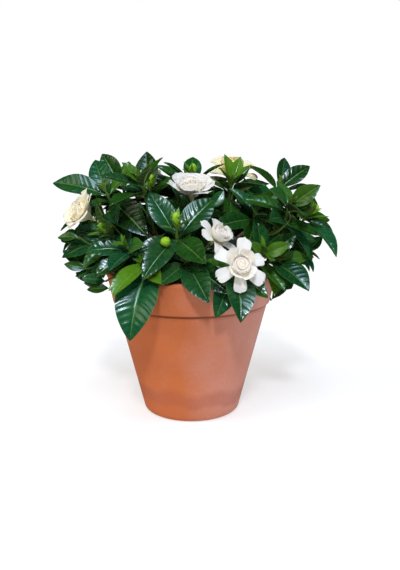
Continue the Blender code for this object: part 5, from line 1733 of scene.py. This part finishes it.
def plan_of_plant():
    """The plant's plan and its inner shoots, worked out once."""
    if "plan" not in _made:
        shoots, obstacles = lay_out()
        outer = blade_tree(shoots, shoots)
        inner = inner_shoots(shoots, random.Random(23))
        lay_leaves(inner, obstacles, INNER_TRIES, lambda blade: inside_crown(blade, outer))
        inner = [s for s in inner if len(s.blades) > 1]
        gaps = gap_shoots(shoots + inner, obstacles, outer, random.Random(31))
        _made["plan"] = shoots + inner + gaps
    return _made["plan"]


def leaf_looks(look):
    """The materials of a leaf's upper side, its lower side and a green stem, made once."""
    if "leaf" not in _made:
        _made["leaf"] = [leaf_upper(look), leaf_under(), green_stem()]
    return _made["leaf"]


class GARDENIA_OT_pot(bpy.types.Operator):
    """Make the clay pot"""

    bl_idname = "gardenia.pot"
    bl_label = "Clay Pot"

    def execute(self, context):
        build_pot(context.scene.gardenia_look)
        return {"FINISHED"}


class GARDENIA_OT_soil(bpy.types.Operator):
    """Fill the pot with potting soil"""

    bl_idname = "gardenia.soil"
    bl_label = "Potting Soil"

    def execute(self, context):
        build_soil()
        return {"FINISHED"}


class GARDENIA_OT_wood(bpy.types.Operator):
    """Make the woody stems and their branches"""

    bl_idname = "gardenia.wood"
    bl_label = "Woody Stems"

    def execute(self, context):
        build_wood(plan_of_plant())
        return {"FINISHED"}


class GARDENIA_OT_shoots(bpy.types.Operator):
    """Make the leafy shoots, outer and inner"""

    bl_idname = "gardenia.shoots"
    bl_label = "Leafy Shoots"

    def execute(self, context):
        build_shoots(plan_of_plant(), leaf_looks(context.scene.gardenia_look))
        return {"FINISHED"}


class GARDENIA_OT_blooms(bpy.types.Operator):
    """Make the double blooms and their calyxes"""

    bl_idname = "gardenia.blooms"
    bl_label = "Blooms"

    def execute(self, context):
        look = context.scene.gardenia_look
        skins = {
            "white_petal": petal("gardenia_petal_fresh", "#fbf6e8", "#ead2ba", "#e9dcc4", look),
            "cream_petal": petal("gardenia_petal_ageing", "#fff6dc", "#f3dc93", "#dcb878", look),
        }
        build_blooms(plan_of_plant(), skins, leaf_looks(look))
        return {"FINISHED"}


class GARDENIA_OT_buds(bpy.types.Operator):
    """Make the furled buds"""

    bl_idname = "gardenia.buds"
    bl_label = "Buds"

    def execute(self, context):
        build_buds(plan_of_plant(), bud_skin())
        return {"FINISHED"}


class GARDENIA_OT_stage(bpy.types.Operator):
    """Set up the floor, the lights and the camera"""

    bl_idname = "gardenia.stage"
    bl_label = "Stage"

    def execute(self, context):
        build_stage(context.scene.gardenia_stage)
        return {"FINISHED"}


OPERATORS = (GARDENIA_OT_pot, GARDENIA_OT_soil, GARDENIA_OT_wood, GARDENIA_OT_shoots, GARDENIA_OT_blooms,
             GARDENIA_OT_buds, GARDENIA_OT_stage)


class GARDENIA_PT_panel(bpy.types.Panel):
    """Lists the pieces and their settings"""

    bl_idname = "GARDENIA_PT_panel"
    bl_label = "Potted Gardenia"
    bl_space_type = "VIEW_3D"
    bl_region_type = "UI"
    bl_category = "Gardenia"

    def draw(self, context):
        for operator in OPERATORS:
            self.layout.operator(operator.bl_idname)
        for group in (context.scene.gardenia_look, context.scene.gardenia_stage):
            for name in group.bl_rna.properties.keys():
                if name not in ("rna_type", "name"):
                    self.layout.prop(group, name)


CLASSES = (GardeniaLook, GardeniaStage, *OPERATORS, GARDENIA_PT_panel)


def register():
    """Adds the settings, operators and panel."""
    for each in CLASSES:
        bpy.utils.register_class(each)
    bpy.types.Scene.gardenia_look = bpy.props.PointerProperty(type=GardeniaLook)
    bpy.types.Scene.gardenia_stage = bpy.props.PointerProperty(type=GardeniaStage)


def unregister():
    """Removes the settings, operators and panel."""
    del bpy.types.Scene.gardenia_stage
    del bpy.types.Scene.gardenia_look
    for each in reversed(CLASSES):
        bpy.utils.unregister_class(each)


def main():
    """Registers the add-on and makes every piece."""
    register()
    bpy.ops.gardenia.stage()
    bpy.ops.gardenia.pot()
    bpy.ops.gardenia.soil()
    bpy.ops.gardenia.wood()
    bpy.ops.gardenia.shoots()
    bpy.ops.gardenia.blooms()
    bpy.ops.gardenia.buds()


if __name__ == "__main__":
    main()
